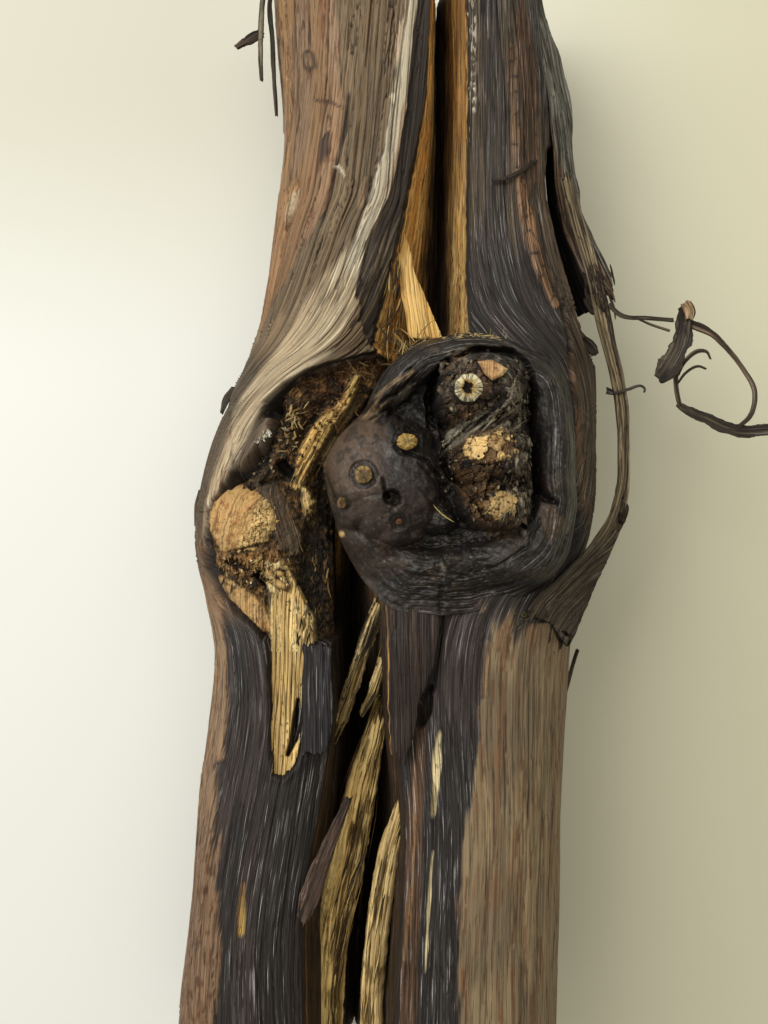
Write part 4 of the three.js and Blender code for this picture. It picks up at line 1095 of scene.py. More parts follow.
def burlBark(x, y, z, inwards, along, bearing, foot):
    # leathery skin on the left, fibres round the rim, and craggy knobs with crusts on the right
    px, py = inPhoto(x, y, z)
    tones = burlTones
    leathery = smooth(0, 5, inside(px, py, burl["leathery"]))
    swirled = smooth(-120, -80, bearing) * smooth(140, 110, bearing)
    flow = (1 - leathery) * smooth(9, 6, inwards) * (0.12 + 0.88 * swirled)
    streak = rough(inwards * 1.5, along * 0.12, 4, 31)
    lumps = rough(x * 0.32, y * 0.32, 4, 41)
    fineLumps = rough(x * 1.6, y * 1.6, 3, 42)
    scatter = rough(x * 2.4, y * 2.4, 3, 46)
    value, side = strips(inwards, along, 1.1, 18.0, 43)[:2]
    fibres = 0.18 * streak + 0.3 * (value - 0.5) - 0.22 * smooth(0.25, 0, side)
    coat = Coat(tones, "dark", 0.45 * lumps + 0.1 * fineLumps + flow * fibres)
    coat.lay(smooth(-0.2, 0.6, streak), "grey", 0.6)
    coat.lay(smooth(0.1, 0.6, lumps), tones["brown"] * 0.55, 0.5)
    skin = Coat(tones, "leather")
    # painted shade: the skin darker on its lower part
    skin.lay(smooth(482, 520, py + 16 * lumps), "purple")
    # painted sheen: blue-grey over the upper middle of the skin
    upperSkinSheen = smooth(366, 396, px + 14 * lumps) * smooth(520, 480, py)
    skin.lay(upperSkinSheen, tones["grey"] * [0.6, 0.64, 0.78], 0.85)
    skin.lay(smooth(0.05, 0.4, rough(x * 0.7, y * 0.7, 3, 60)), "dark", 0.6)
    coat.lay(leathery, skin.tint)
    wobble = 2.2 * rough(x * 0.9, y * 0.9, 3, 44)
    # the carved grooves are painted blacker the deeper they are, a painted shade
    for path, depth in burl["carved"]:
        coat.lay(stroke(px + wobble, py + wobble, path, 2.0), "crack", 0.9 * min(1.0, depth / 1.2), -depth)
    paler = 0.75 * smooth(-0.4, 0.2, fineLumps)
    for path, height in burl["raised"]:
        coat.lay(stroke(px + 0.6 * wobble, py, path, 2.0), tones["silver"] * 0.85, paler, height)
    # the right knobs are craggy: tilted blocks with cracks between, some crusted yellow
    knotted = stroke(px, py, burl["craggy"], 8)
    craggy = (0.1 + 0.9 * knotted) * smooth(1.5, 5, inwards) * (1 - 0.9 * leathery)
    warpX, warpY = x + 0.9 * lumps + 0.3 * fineLumps, y + 0.9 * fineLumps
    for size, seed, deep, gapWidth in burl["blocks"]:
        block, gap = cells(warpX * size, warpY * size, seed)
        tilted = 0.9 * (block - 0.5) - 0.6 * smooth(gapWidth, 0.0, gap)
        coat.relief = coat.relief + craggy * deep * tilted
        # the cracks between the blocks are near black, partly as painted shade between them
        coat.lay(craggy * smooth(gapWidth, 0.02, gap), "crack", 0.85)
        coat.lay(craggy * (block > 0.4) * knotted, "brown", 0.75)
        coat.lay(craggy * (block > 0.8) * knotted, "crustDark", 0.6)
    # slats, and a fibrous web from the upper knob to the middle one, streaked along one slope
    slope = math.radians(burl["webSlope"])
    lines = rough(1.6 * (y * math.cos(slope) - x * math.sin(slope)),
                  0.2 * (x * math.cos(slope) + y * math.sin(slope)), 3, 57)
    slats = smooth(0, 4, inside(px, py, burl["slats"]))
    coat.lay(slats, blend(tones["crack"] * 2, tones["slat"], smooth(-0.25, 0.2, lines)), 0.9, 0.7 * lines)
    web = smooth(0, 4, inside(px, py, burl["web"]))
    coat.lay(web, blend(tones["crack"] * 2.5, tones["silver"], smooth(-0.05, 0.3, lines)), 0.9, 0.9 * lines)
    flaky, flakyGap = cells(x * 1.1 + 0.4 * scatter, y * 0.7, 53)
    flakes = stroke(px, py, burl["flakes"], 4) * (flaky > 0.3) * smooth(0.05, 0.16, flakyGap)
    coat.lay(flakes, tones["silver"] * (0.6 + 0.6 * flaky)[..., None], 0.85, 0.5)
    ribs = stroke(px, py, burl["ribs"], 6)
    coat.lay(ribs * smooth(0.05, 0.35, scatter), tones["silver"] * 0.8, 0.5)
    crusted = 0 * x
    for crustX, crustY, wide, tall, seed, light in burl["crusts"]:
        away = np.hypot((px - crustX) / wide, (py - crustY) / tall)
        crust = smooth(1.0, 0.85, away + 0.22 * scatter + 0.6 * lumps)
        crusted = np.maximum(crusted, crust)
        block, gap = cells(x * 0.42 + 0.2 * scatter, y * 0.42 + 0.2 * fineLumps, seed)
        shade = smooth(0.1, 0.7, block - 0.25 * rough(x * 3.0, y * 3.0, 3, seed))
        crumbs = blend(tones["crustDark"], tones["crust"] * light, shade)
        coat.relief = coat.relief * (1 - 0.6 * crust)
        coat.lay(crust, blend(crumbs, tones["crack"], 0.9 * smooth(0.07, 0.02, gap)), 1,
                 1.1 * (block - 0.4) - 0.5 * smooth(0.1, 0, gap))
    patch = stroke(px + wobble, py, burl["patch"], 2)
    coat.lay(patch, tones["brown"] * 0.55, 0.92, -0.3)
    # a groove round each stub, painted dark partly as its shade, inside a raised ring
    for stubX, stubY, wide in burl["rings"]:
        ring = np.hypot(px - stubX, py - stubY)
        coat.lay(smooth(wide * 0.5 + 4.5, wide * 0.5 + 1.5, ring), tones["crack"] * 1.5, 0.75, -0.45)
        coat.relief = coat.relief + 0.35 * smooth(wide + 4, wide * 0.5 + 4, ring)
    coat.lay(smooth(4.0, 1.5, np.hypot(px - burl["spot"][0], py - burl["spot"][1])), "crust", 0.9)
    topFlecks = stroke(px, py, burl["topFlecks"], 2) * smooth(0.1, 0.3, scatter)
    coat.lay(topFlecks * smooth(0.1, 0.8, inwards), "wood", 0.85)
    coat.lay(smooth(0.5, 0.6, rough(x * 5, y * 5, 2, 47)), "silver", 0.25)
    coat.lay(foot * smooth(3.5, 0.5, inwards), "purple", 0.6)
    flecks = smooth(0.36, 0.5, rough(x * 1.5, y * 3.0, 3, 58)) * smooth(14, 9, inwards)
    coat.lay(foot * flecks * smooth(4, 7, inwards), tones["silver"] * 0.6, 0.4)
    coat.lay(foot * smooth(-0.1, 0.35, rough(x * 0.3, y * 0.5, 3, 62)), tones["crack"] * 1.2, 0.65)
    coat.relief = coat.relief + 0.8 * foot * rough(x * 0.5, y * 0.8, 3, 59)
    beside = smooth(1.3, 0.3, inwards) * smooth(-70, -45, bearing) * smooth(75, 50, bearing)
    coat.lay(beside, "crack", 0.9)
    bite = 1 - 0.7 * np.maximum(np.maximum(leathery, patch), crusted)
    return coat.relief * smooth(0, 1.2, inwards), coat.fields(inwards, along, 3, 0.55 * flow, bite)


def burlGrid():
    # a polar grid over the photograph's outline: the knobs' height, let down to the rim by a
    # quarter circle, or at the foot by an S curve
    cx, cy = burl["middle"]
    px, py = np.array(burl["outline"], float).T
    bearings, levels = np.array(burl["rimHeight"], float).T
    x, y = fromPhoto(px, py, 58.0)
    x, y = fromPhoto(px, py, np.interp(np.degrees(np.arctan2(y - cy, x - cx)), bearings, levels))
    around, reach = np.unwrap(np.arctan2(y - cy, x - cx)), np.hypot(x - cx, y - cy)
    order = np.argsort(around)
    theta = around.min() + np.linspace(0, 2 * np.pi, burl["columns"], endpoint=False)
    radius = np.interp(theta, np.append(around[order], around.min() + 2 * np.pi),
                       np.append(reach[order], reach[order][0]))
    window = np.hanning(23) / np.hanning(23).sum()
    radius = np.convolve(np.concatenate([radius[-11:], radius, radius[:11]]), window, "valid")
    radius = radius + 0.35 * noise(6 * np.cos(theta), 6 * np.sin(theta), 3)
    s = np.linspace(0.006, 1, burl["rows"])[:, None]
    x, y = cx + s * radius * np.cos(theta), cy + s * radius * np.sin(theta)
    inwards = (1 - s) * radius
    bearing = (np.degrees(theta) + 180) % 360 - 180
    foot = smooth(-150, -120, bearing) * smooth(-40, -70, bearing)
    near = np.clip(inwards / (burl["rim"] + 7.5 * foot), 0, 1)
    share = np.sqrt(np.clip(1 - (1 - near) ** 2, 0, 1))
    share = share + (near * near * (3 - 2 * near) - share) * foot
    rimZ = np.interp(bearing, bearings, levels)
    z = rimZ + (burlHeight(x, y) - rimZ) * share
    along = np.broadcast_to(np.abs((theta / np.pi) % 2 - 1) * np.pi * 22, x.shape)
    return x, y, z, inwards, along, bearing, foot


def makeBurl(stands):
    # the grid raised by its bark, and a skirt that goes down and inwards below the rim
    cx, cy = burl["middle"]
    x, y, z, *places = burlGrid()
    relief, fields = burlBark(x, y, z, *places)
    z = z + relief
    t = np.linspace(0, 1, burl["skirt"] + 1)[1:, None]
    tuck = 1 - 0.32 * t ** 1.4
    under = stack(cx + (x[-1] - cx) * tuck, cy + (y[-1] - cy) * tuck,
                  z[-1] + (burl["skirtZ"] - z[-1]) * t ** 0.8)
    for key, values in fields.items():
        last = np.repeat(values[-1:], burl["skirt"], axis=0)
        if key == "grain":
            last = last + [1.0, 0, 0] * (t * 20)[..., None]
        fields[key] = np.concatenate([values, last])
    return tube("burl", np.concatenate([stack(x, y, z), under]), fields, ["burl"], stands)


makeBurl(("burl_base", "burl_collar", "knob_left", "knob_upper", "knob_middle", "knob_lower",
          "knob_small_left", "knob_small_right"))
print("burl made")


# Pruned stubs

stubs = {
    "stubRing": dict(stands="stub_ring", px=(468.5, 387.5), z=81, radius=(14.5, 14.5), drop=8,
        rim=(240, 228, 188), face=(206, 174, 112), pith=0.3, teeth=1.0),
    "stubHigh": dict(stands="stub_high", px=(407, 441.5), z=75.8, radius=(10.5, 8.5), drop=6,
        rim=(198, 160, 84), face=(214, 184, 112), pith=0.0, teeth=0.2),
    "stubLow": dict(stands="stub_low", px=(363.5, 474.5), z=75.9, radius=(9, 9.3), drop=6,
        rim=(176, 146, 90), face=(140, 116, 84), pith=0.0, teeth=0.15),
    "stubSide": dict(stands="stub_side", px=(342, 503), z=70.4, radius=(5, 6), drop=6,
        rim=(150, 118, 74), face=(126, 96, 62), pith=0.0, teeth=0.1),
    "stubFoot": dict(stands="stub_foot", px=(399, 521.5), z=72.4, radius=(4.2, 4.2), drop=6,
        rim=(96, 66, 44), face=(134, 88, 50), pith=0.0, teeth=0.1),
}
stubTones = palette(pith=(34, 26, 22), foot=(40, 30, 24))


def roundGrid(spec, rows, columns, start, uneven):
    # turn, reach (start to 1) and photo pixels of a polar grid over an oval. Its rim wavers by
    # a share of the radius, so often, with a seed
    theta = np.linspace(0, 2 * np.pi, columns, endpoint=False)[None]
    s = np.linspace(start, 1, rows)[:, None]
    wobble = 1
    for share, often, seed in uneven:
        wobble = wobble + share * noise(often * np.cos(theta), often * np.sin(theta), seed)
    (cx, cy), (wide, tall) = spec["px"], spec["radius"]
    return theta, s, cx + s * wide * wobble * np.cos(theta), cy - s * tall * wobble * np.sin(theta)


def makeStub(name, stub, seed):
    # a short peg: rings out from the pith over its worn top, then down its side
    theta, s, px, py = roundGrid(stub, 40, 96, 0.03, ((0.05, 3, seed), (0.03, 9, seed + 1)))
    grit = rough(px * 0.35, py * 0.35, 3, seed + 2)
    teeth = smooth(0.1, 0.5, noise(theta * 9.5, 3, seed + 4)) * smooth(0.5, 0.8, s) * stub["teeth"]
    off = np.hypot(s * np.cos(theta) + 0.08, s * np.sin(theta) * 0.7)
    pith = smooth(stub["pith"] + 0.06, stub["pith"] - 0.06, off + 0.2 * grit) if stub["pith"] else 0 * s
    z = stub["z"] - 0.7 * s ** 4 + 0.22 * grit - 0.9 * pith - 0.15 * teeth
    x, y = fromPhoto(px, py, z)
    coat = Coat(stubTones, tone(*stub["face"]))
    coat.lay(smooth(0.5, 0.75, s + 0.15 * grit), tone(*stub["rim"]))
    coat.lay(smooth(0.1, 0.45, grit), coat.tint * 0.45, 0.8)
    coat.lay(np.maximum(pith, teeth * 0.75), "pith")
    coat.lay(smooth(0.93, 1.0, s), "foot")
    capped(name, stack(x, y, z), coat.fields(theta * 7, s * 9, seed, 0, 0.7), stub["drop"],
           (stub["stands"],))


for seed, (stubName, stub) in enumerate(stubs.items()):
    makeStub(stubName, stub, 60 + 7 * seed)

budChip = {
    "corners": [(477, 361), (492, 359), (509, 369), (503, 376), (492, 381), (484, 374)],
    "z": 79.9,
    "ridge": (490, 370),
    # the border of the side right of the ridge, painted lighter as painted light
    "bright": (494, 366),
    "tones": palette(face=(178, 140, 98), worn=(124, 88, 58), bright=(214, 182, 134), rim=(44, 32, 24)),
}


def makeBudChip():
    # a three-sided facet of pale wood: an outline shrunk to its middle, with a tilted top
    corners = np.array(budChip["corners"], float)
    around = np.linspace(0, len(corners), 72, endpoint=False)
    closed = np.concatenate([corners, corners[:1]]).T
    loop = stack(*[np.interp(around, np.arange(len(corners) + 1), place) for place in closed])
    s = np.linspace(0.04, 1, 26)[:, None]
    middle = corners.mean(axis=0)
    px, py = np.moveaxis(middle + (loop - middle) * s[..., None], -1, 0)
    grit = rough(px * 0.22, py * 0.22, 3, 91)
    ridgeX, ridgeY = budChip["ridge"]
    ridge = np.abs((px - ridgeX) * 0.8 - (py - ridgeY) * 0.3) * 0.05
    z = budChip["z"] - ridge + 0.25 * grit - 0.9 * s ** 5
    x, y = fromPhoto(px, py, z)
    coat = Coat(budChip["tones"], "face")
    coat.lay(smooth(-0.1, 0.5, grit), "worn")
    # painted light: the side right of the ridge is lighter
    litSideX, litSideY = budChip["bright"]
    coat.lay(smooth(2, 7, px - litSideX - 0.3 * (py - litSideY)), "bright", 0.7)
    coat.lay(smooth(0.9, 1.0, s), "rim")
    capped("budChip", stack(x, y, z), coat.fields(px * 0.2, py * 0.2, 9, 0, 0.15), 5, ("bud_chip",))


makeBudChip()
print("stubs made")


# The wound

wound = {
    "rows": (344, 652),
    "under": 3,  # pixels that the left edge goes on under the bark
    "grid": (280, 270),
    "left": [(385, 344), (378, 350), (358, 354), (330, 360), (305, 369), (282, 382), (262, 401), (247, 425),
        (232, 455), (220, 480), (210, 500), (203, 520), (201, 545), (205, 570), (215, 593), (232, 613),
        (248, 627), (262, 641), (266, 652)],
    "right": [(378, 344), (386, 362), (380, 385), (368, 405), (350, 425), (340, 450), (332, 480),
        (331, 520), (332, 560), (333, 652)],
}
woundTones = palette(
    black=(35, 31, 27), char=(42, 46, 46), moss=(100, 76, 47), warm=(164, 122, 72), yellow=(232, 194, 120),
    shelf=(96, 80, 66), purple=(88, 74, 59), green=(132, 116, 78), pale=(246, 222, 166),
    orange=(196, 158, 104), rust=(124, 82, 46), khaki=(222, 196, 136), straw=(240, 208, 140),
)
# how far the fibres have moved aside by each pixel row: they lean one way, then the other
woundLean = [(380, 0), (480, 11.7), (495, 12.1), (545, 8.8), (585, 7.5)]
# soft edge, tone, how much of it, depth, how uneven, how far the strokes wander, fibrous, path
# the black strokes lie deepest: holes, hollows, pits and cracks, their black a painted shade
woundStrokes = {
    "rustFloor": (6, "rust", 0.6, 4.8, 0.9, 1, 0, [(385, 362, 18), (345, 372, 24), (318, 384, 28)]),
    "cavityHigh": (5, "black", 0.97, 8.0, 0.3, 1, 0,
        [(276, 384, 8), (270, 398, 24), (274, 418, 24), (270, 430, 12)]),
    "shelf": (4, "shelf", 0.95, 2.2, 0.2, 0.5, 0.3,
        [(256, 412, 10), (248, 428, 18), (240, 446, 14), (232, 462, 10)]),
    "cavityLow": (5, "char", 0.95, 7.0, 0.8, 1, 0,
        [(268, 444, 14), (256, 456, 28), (242, 470, 26), (236, 478, 16)]),
    "hole": (3, "black", 1.0, 9.0, 0, 0.6, 0, [(283, 466, 12), (290, 474, 10)]),
    "warmFloor": (8, "rust", 0.5, 4.6, 1.0, 1, 0, [(345, 385, 34), (325, 415, 34), (308, 440, 22)]),
    "darkFloor": (5, "black", 0.8, 5.6, 0.9, 1, 0,
        [(330, 380, 8), (340, 394, 14), (322, 404, 10), (300, 440, 8)]),
    "green": (4, "green", 0.9, 3.0, 0.4, 0.4, 1,
        [(354, 380, 10), (349, 404, 16), (339, 430, 16), (330, 455, 14), (327, 480, 10)]),
    "ridge": (2.5, "yellow", 0.97, 0.8, 0.15, 0.35, 0.7,
        [(358, 376, 5), (345.5, 404, 10), (324, 426, 17), (310, 449, 18), (303, 468, 15), (298, 485, 11)]),
    "bright": (2, "straw", 1.0, 0.6, 0.2, 0.3, 0.5, [(304, 490, 7), (310, 505, 15), (313, 521, 10)]),
    "darkHollow": (5, "black", 0.85, 6.2, 1.0, 1, 0,
        [(319, 470, 5), (323, 500, 13), (318, 530, 24), (313, 560, 28), (313, 590, 26), (320, 622, 20)]),
    "purple": (4, "purple", 0.9, 2.4, 0.2, 0.5, 0.6,
        [(258, 482, 8), (272, 498, 26), (280, 520, 30), (290, 538, 24), (297, 550, 10)]),
    "slot": (2, "black", 0.85, 5.0, 0, 0.5, 0, [(262, 483, 4), (280, 480, 6), (296, 478, 4)]),
    "broken": (4, "warm", 0.85, 3.0, 1.5, 1, 0.3, [(222, 562, 12), (245, 566, 22), (272, 556, 16)]),
    "brokenPit": (2, "black", 0.95, 6.0, 0.4, 0.8, 0, [(229, 561, 4), (240, 566, 8), (247, 570, 4)]),
    "brokenHole": (2, "black", 1.0, 7.5, 0, 0.6, 0, [(258, 574, 9), (266, 582, 8)]),
    "paleChip": (2, "pale", 0.95, 1.2, 0.7, 0.5, 0.3, [(268, 563, 6), (275, 574, 15), (283, 585, 12)]),
    "wedge": (3, "orange", 0.9, 1.8, 0.2, 0.4, 0.6,
        [(221, 579, 6), (236, 594, 18), (254, 609, 24), (266, 626, 14)]),
    "stripLeft": (2.5, "khaki", 0.95, 1.7, 0.3, 0.3, 1, [(275, 590, 12), (279, 620, 18), (279, 664, 18)]),
    "stripRight": (2.5, "pale", 0.95, 1.3, 0.3, 0.3, 1, [(294, 598, 14), (302, 620, 26), (302, 664, 28)]),
    "stripCrack": (1.2, "black", 0.9, 3.6, 0, 0.6, 0, [(286, 590, 2), (290, 612, 3), (289, 640, 2)]),
    "stripPit": (1.5, "black", 0.9, 3.6, 0, 0.6, 0, [(296, 634, 4), (300, 641, 6)]),
}


def woundLook(px, py):
    # depth below the bark in mm, tint and fibres, painted as strokes over broken, mossy wood
    x, y = px * nearPixel, py * nearPixel
    grit = rough(x * 1.1, y * 1.1, 4, 201)
    fine = rough(x * 3.2, y * 3.2, 3, 202)
    leaning = x + np.interp(py, *zip(*woundLean))
    upDown = rough(leaning * 1.9, y * 0.12, 3, 203)
    block, gap = cells(x * 1.3 + 0.5 * grit, y * 0.9 + 0.4 * fine, 204)
    depth = 3.4 + 1.2 * grit + 0.25 * fine + 0.9 * (block - 0.5)
    coat = Coat(woundTones, "moss")
    coat.lay(smooth(0.05, 0.5, grit), "warm")
    coat.lay(np.maximum(smooth(-0.05, -0.4, grit), smooth(0.16, 0.04, gap)), "black", 0.85)
    woody = np.zeros(px.shape)
    for soft, colour, share, down, uneven, wander, fibrous, path in woundStrokes.values():
        mask = stroke(px + wander * 5 * grit, py + wander * 4 * fine, path, soft)
        level = down + uneven * (0.6 * fine + block - 0.5) + 0.5 * fibrous * np.maximum(upDown, -0.2)
        depth = depth + (level - depth) * mask
        dark = np.maximum(0.8 * fibrous * smooth(0.2, 0.5, upDown), 0.5 * smooth(0.1, 0.5, fine))
        varied = woundTones[colour] * (0.85 + 0.3 * block * (1 - 0.5 * fibrous))[..., None]
        coat.lay(mask, blend(varied, woundTones["black"], dark), share)
        woody = woody + (fibrous - woody) * mask
    stain = smooth(0.1, 0.45, rough(x * 0.5, y * 0.35, 3, 207))
    coat.lay(stain * woody, coat.tint * woundTones["warm"] * 3.0, 0.4)
    return depth, coat, woody, leaning


def belowBark(px, py, depth, guess):
    # places at a depth below the left limb's upper side, closed in on from a guessed height
    x, y = fromPhoto(px, py, guess)
    for again in range(3):
        z = limbTop(leftLimb, x, y) - depth
        x, y = fromPhoto(px, py, z)
    return stack(x, y, z)


def ruled(spec):
    # a grid in the photograph: its pixel rows, its columns 0-1, and both edges at each row
    rows, columns = spec["grid"]
    py = np.linspace(*spec["rows"], rows)[:, None]
    return py, np.linspace(0, 1, columns)[None], edgeAt(spec["left"], py), edgeAt(spec["right"], py)


def makeWound():
    # a ruled grid between the wound's edges in the photograph, laid below the bark
    py, t, left, right = ruled(wound)
    px = left - wound["under"] + (right - left + wound["under"]) * t
    py = np.broadcast_to(py, px.shape)
    depth, coat, woody, leaning = woundLook(px, py)
    within = inside(px, py, leftMarks["wound"]) * smooth(640, 600, py) + 30 * smooth(600, 640, py)
    edge = smooth(11, 3, within + 5 * rough(px * 0.09, py * 0.09, 3, 211))
    ledge = rough(within * 0.3, (px + py) * 0.02, 3, 212)
    depth = depth + (1.9 + 0.3 * ledge - depth) * edge
    coat.lay(edge, blend(woundTones["shelf"], woundTones["black"], 0.8 * smooth(-0.1, 0.4, ledge)))
    # painted shade along the wound's outline, where it meets the bark
    coat.lay(smooth(2.5, 0.5, within + 1.5 * ledge), "black")
    depth = depth + 2.5 * smooth(4, -3, px - left) + 3.0 * smooth(8, 0, right - px) ** 2
    points = belowBark(px, py, depth, 50.0)
    fields = coat.fields(leaning, points[..., 1], 5, 0.9 * woody, 1 - 0.6 * woody)
    return sheet("wound", points, fields, "rot", ("wound_ridge", "wound_wood"), 14.0)


# pixels: middle, radii, where the fibres bend round, a point of the paler side's border, and of
# the crack; z and rise in mm
oldStub = {
    "px": (249, 521),
    "radius": (41, 42),
    "foot": (268, 552),
    "paler": (247, 530),
    "crack": (240, 549),
    "z": 46.5,
    "rise": 7.9,
    "tones": palette(tan=(186, 150, 98), orange=(164, 118, 70), pale=(226, 194, 134), brown=(142, 94, 54),
        dark=(52, 38, 26)),
}


def makeOldStub():
    # a rounded, decayed stump of a shoot: a flattened dome with bent fibres and a paler side
    s, px, py = roundGrid(oldStub, 120, 240, 0.01, ((0.07, 1.7, 71), (0.025, 9, 77)))[1:]
    x, y = px * nearPixel, py * nearPixel
    grit = rough(x * 0.9, y * 0.9, 4, 72)
    fine = rough(x * 3.4, y * 3.4, 3, 73)
    (footX, footY), (paleX, paleY), (crackX, crackY) = (oldStub[key] for key in ("foot", "paler", "crack"))
    arc = nearPixel * np.hypot(px - footX, 0.6 * (py - footY)) + 0.5 * grit
    turn = np.arctan2(py - footY, px - footX)
    lines = rough(arc * 2.2, turn * 2.0, 3, 74)
    block, gap = cells(x * 0.8 + 0.5 * grit, y * 0.6 + 0.5 * fine, 78)
    paler = smooth(-6, 6, px - paleX + 0.5 * (py - paleY) + 8 * grit)
    chipped = paler * smooth(0.12, 0.02, gap)
    crack = smooth(1.6, 0.5, np.abs(py - crackY + 0.24 * (px - crackX) + 2 * fine)) * smooth(215, 225, px)
    z = oldStub["z"] + oldStub["rise"] * (1 - s ** 2.6) + 0.5 * grit + 0.1 * fine + 0.05 * lines
    z = z + paler * 0.7 * (block - 0.5) - 0.35 * chipped - 0.6 * crack
    x, y = fromPhoto(px, py, z)
    coat = Coat(oldStub["tones"], "tan")
    coat.lay(smooth(0.0, 0.6, lines), "orange", 0.3)
    coat.lay(smooth(0.0, 0.35, grit) * (1 - 0.5 * paler), "orange", 0.8)
    coat.lay(smooth(0.28, 0.5, grit) * (1 - 0.5 * paler), "brown", 0.8)
    coat.lay(paler, coat.tone("pale") * (0.75 + 0.35 * block)[..., None], 0.8)
    coat.lay(np.maximum(chipped, smooth(0.38, 0.5, fine)), "dark", 0.6)
    coat.lay(np.maximum(0.8 * crack, 0.9 * smooth(0.9, 0.99, s + 0.05 * grit)), "dark")
    capped("oldStub", stack(x, y, z), coat.fields(arc, turn * 6, 7, 0, 0.25), 9.0, ("old_stub",))


bareWood = {
    "rows": (566, 782),
    "grid": (330, 110),
    "left": [(268, 566), (272, 590), (270, 640), (269, 700), (269, 776), (276, 782)],
    "right": [(288, 566), (305, 600), (314, 625), (312, 648), (304, 700), (302, 742), (297, 762),
        (284, 782)],
    "slit": [(298, 700, 3), (297, 715, 7), (294, 738, 8), (288, 754, 4)],
    "splinter": [(291, 770, 3), (296, 755, 5), (300, 742, 3)],
    "tones": palette(yellow=(230, 202, 138), brown=(178, 144, 90), dark=(60, 46, 30)),
}


def makeBareWood():
    # the strip of bare wood below the wound, with long raised fibres and a dark slit
    py, t, left, right = ruled(bareWood)
    px = left + (right - left) * t
    py = np.broadcast_to(py, px.shape)
    value, side = strips(px * nearPixel + 0.012 * py, py * nearPixel, 0.9, 22.0, 81)[:2]
    lines = rough(px * 0.5, py * 0.02, 3, 82)
    grit = rough(px * 0.3, py * 0.3, 3, 83)
    slit = stroke(px, py, bareWood["slit"], 1.5)
    depth = 1.3 - 0.5 * (value - 0.5) + 0.6 * smooth(0.2, 0, side) + 0.3 * lines
    depth = depth + 3.2 * slit - 1.1 * stroke(px, py, bareWood["splinter"], 1.0)
    depth = depth + 2.2 * smooth(0.06, 0, t) + 1.6 * smooth(0.93, 1.0, t) + 2.0 * smooth(774, 782, py)
    coat = Coat(bareWood["tones"], "yellow")
    coat.lay(smooth(0.35, 0.9, value), "brown", 0.55)
    coat.lay(smooth(290, 276, px + 6 * lines), coat.tone("brown") * 0.8, 0.7)
    coat.lay(smooth(0.14, 0.04, side) * smooth(0.1, 0.5, lines), "dark", 0.65)
    coat.lay(smooth(0.3, 0.45, grit) * smooth(-0.2, 0.2, lines), "dark", 0.75)
    # painted shade in the slit and along the left edge, which goes down under the bark
    coat.lay(slit, "dark")
    coat.lay(smooth(0.06, 0.0, t), "dark", 0.9)
    points = belowBark(px, py, depth, 55.0)
    fields = coat.fields(points[..., 0], points[..., 1], 8, 0.4, 0.4)
    return sheet("bareWood", points, fields, "wood", ("bare_wood",), 5.0)


makeWound()
makeOldStub()
makeBareWood()
print("wound made")


# Strips, splinters and peels

def smoothPath(points, step):
    # rows along the cubic through the points, at even chord lengths
    points = np.asarray(points, float)
    chord = np.linalg.norm(np.diff(points[:, :3], axis=0), axis=1)
    rows = np.column_stack([np.concatenate([[0], np.cumsum(chord)]), points])
    at = np.linspace(0, rows[-1, 0], max(int(rows[-1, 0] / step), 8) + 1)
    return at, np.column_stack([track(rows, n, at) for n in range(1, rows.shape[1])])


def fibrous(spec):
    # a coat with the three tones of a strip
    return Coat(dict(zip(("main", "other", "dark"), (tone(*colour) for colour in spec["tones"]))), "main")


def standsFor(spec):
    # the nodes that a piece replaces
    return (spec["stands"],) if "stands" in spec else ()


def tornEnds(u, often, steps, jump, torn, seed):
    # how many mm both ends are torn back at each place u across: waves and jumps
    return [size * (0.5 + 0.5 * noise(u * often, 0, seed + n)
                    + jump * hashed(np.floor(u * steps), n + 1, seed)) for n, size in enumerate(torn)]


def readAlong(s, at, table):
    # the table's columns at the distances s, along a new last axis
    return stack(*[np.interp(s, at, column) for column in table.T])


# what a strand is like where its own dictionary doesn't say. Its points are x, y, z, width; face
# is the way its flat side looks, torn how many mm each end is torn back, and fibre, relief and
# thickness are in mm
plainStrand = dict(face=(0, 0, 1), columns=44, power=3.2, torn=(0.5, 0.5), ragged=0.08, fibre=0.8,
    relief=0.12, cup=0, shade=0.8, under=0.4, bite=1, sheen=0.3)


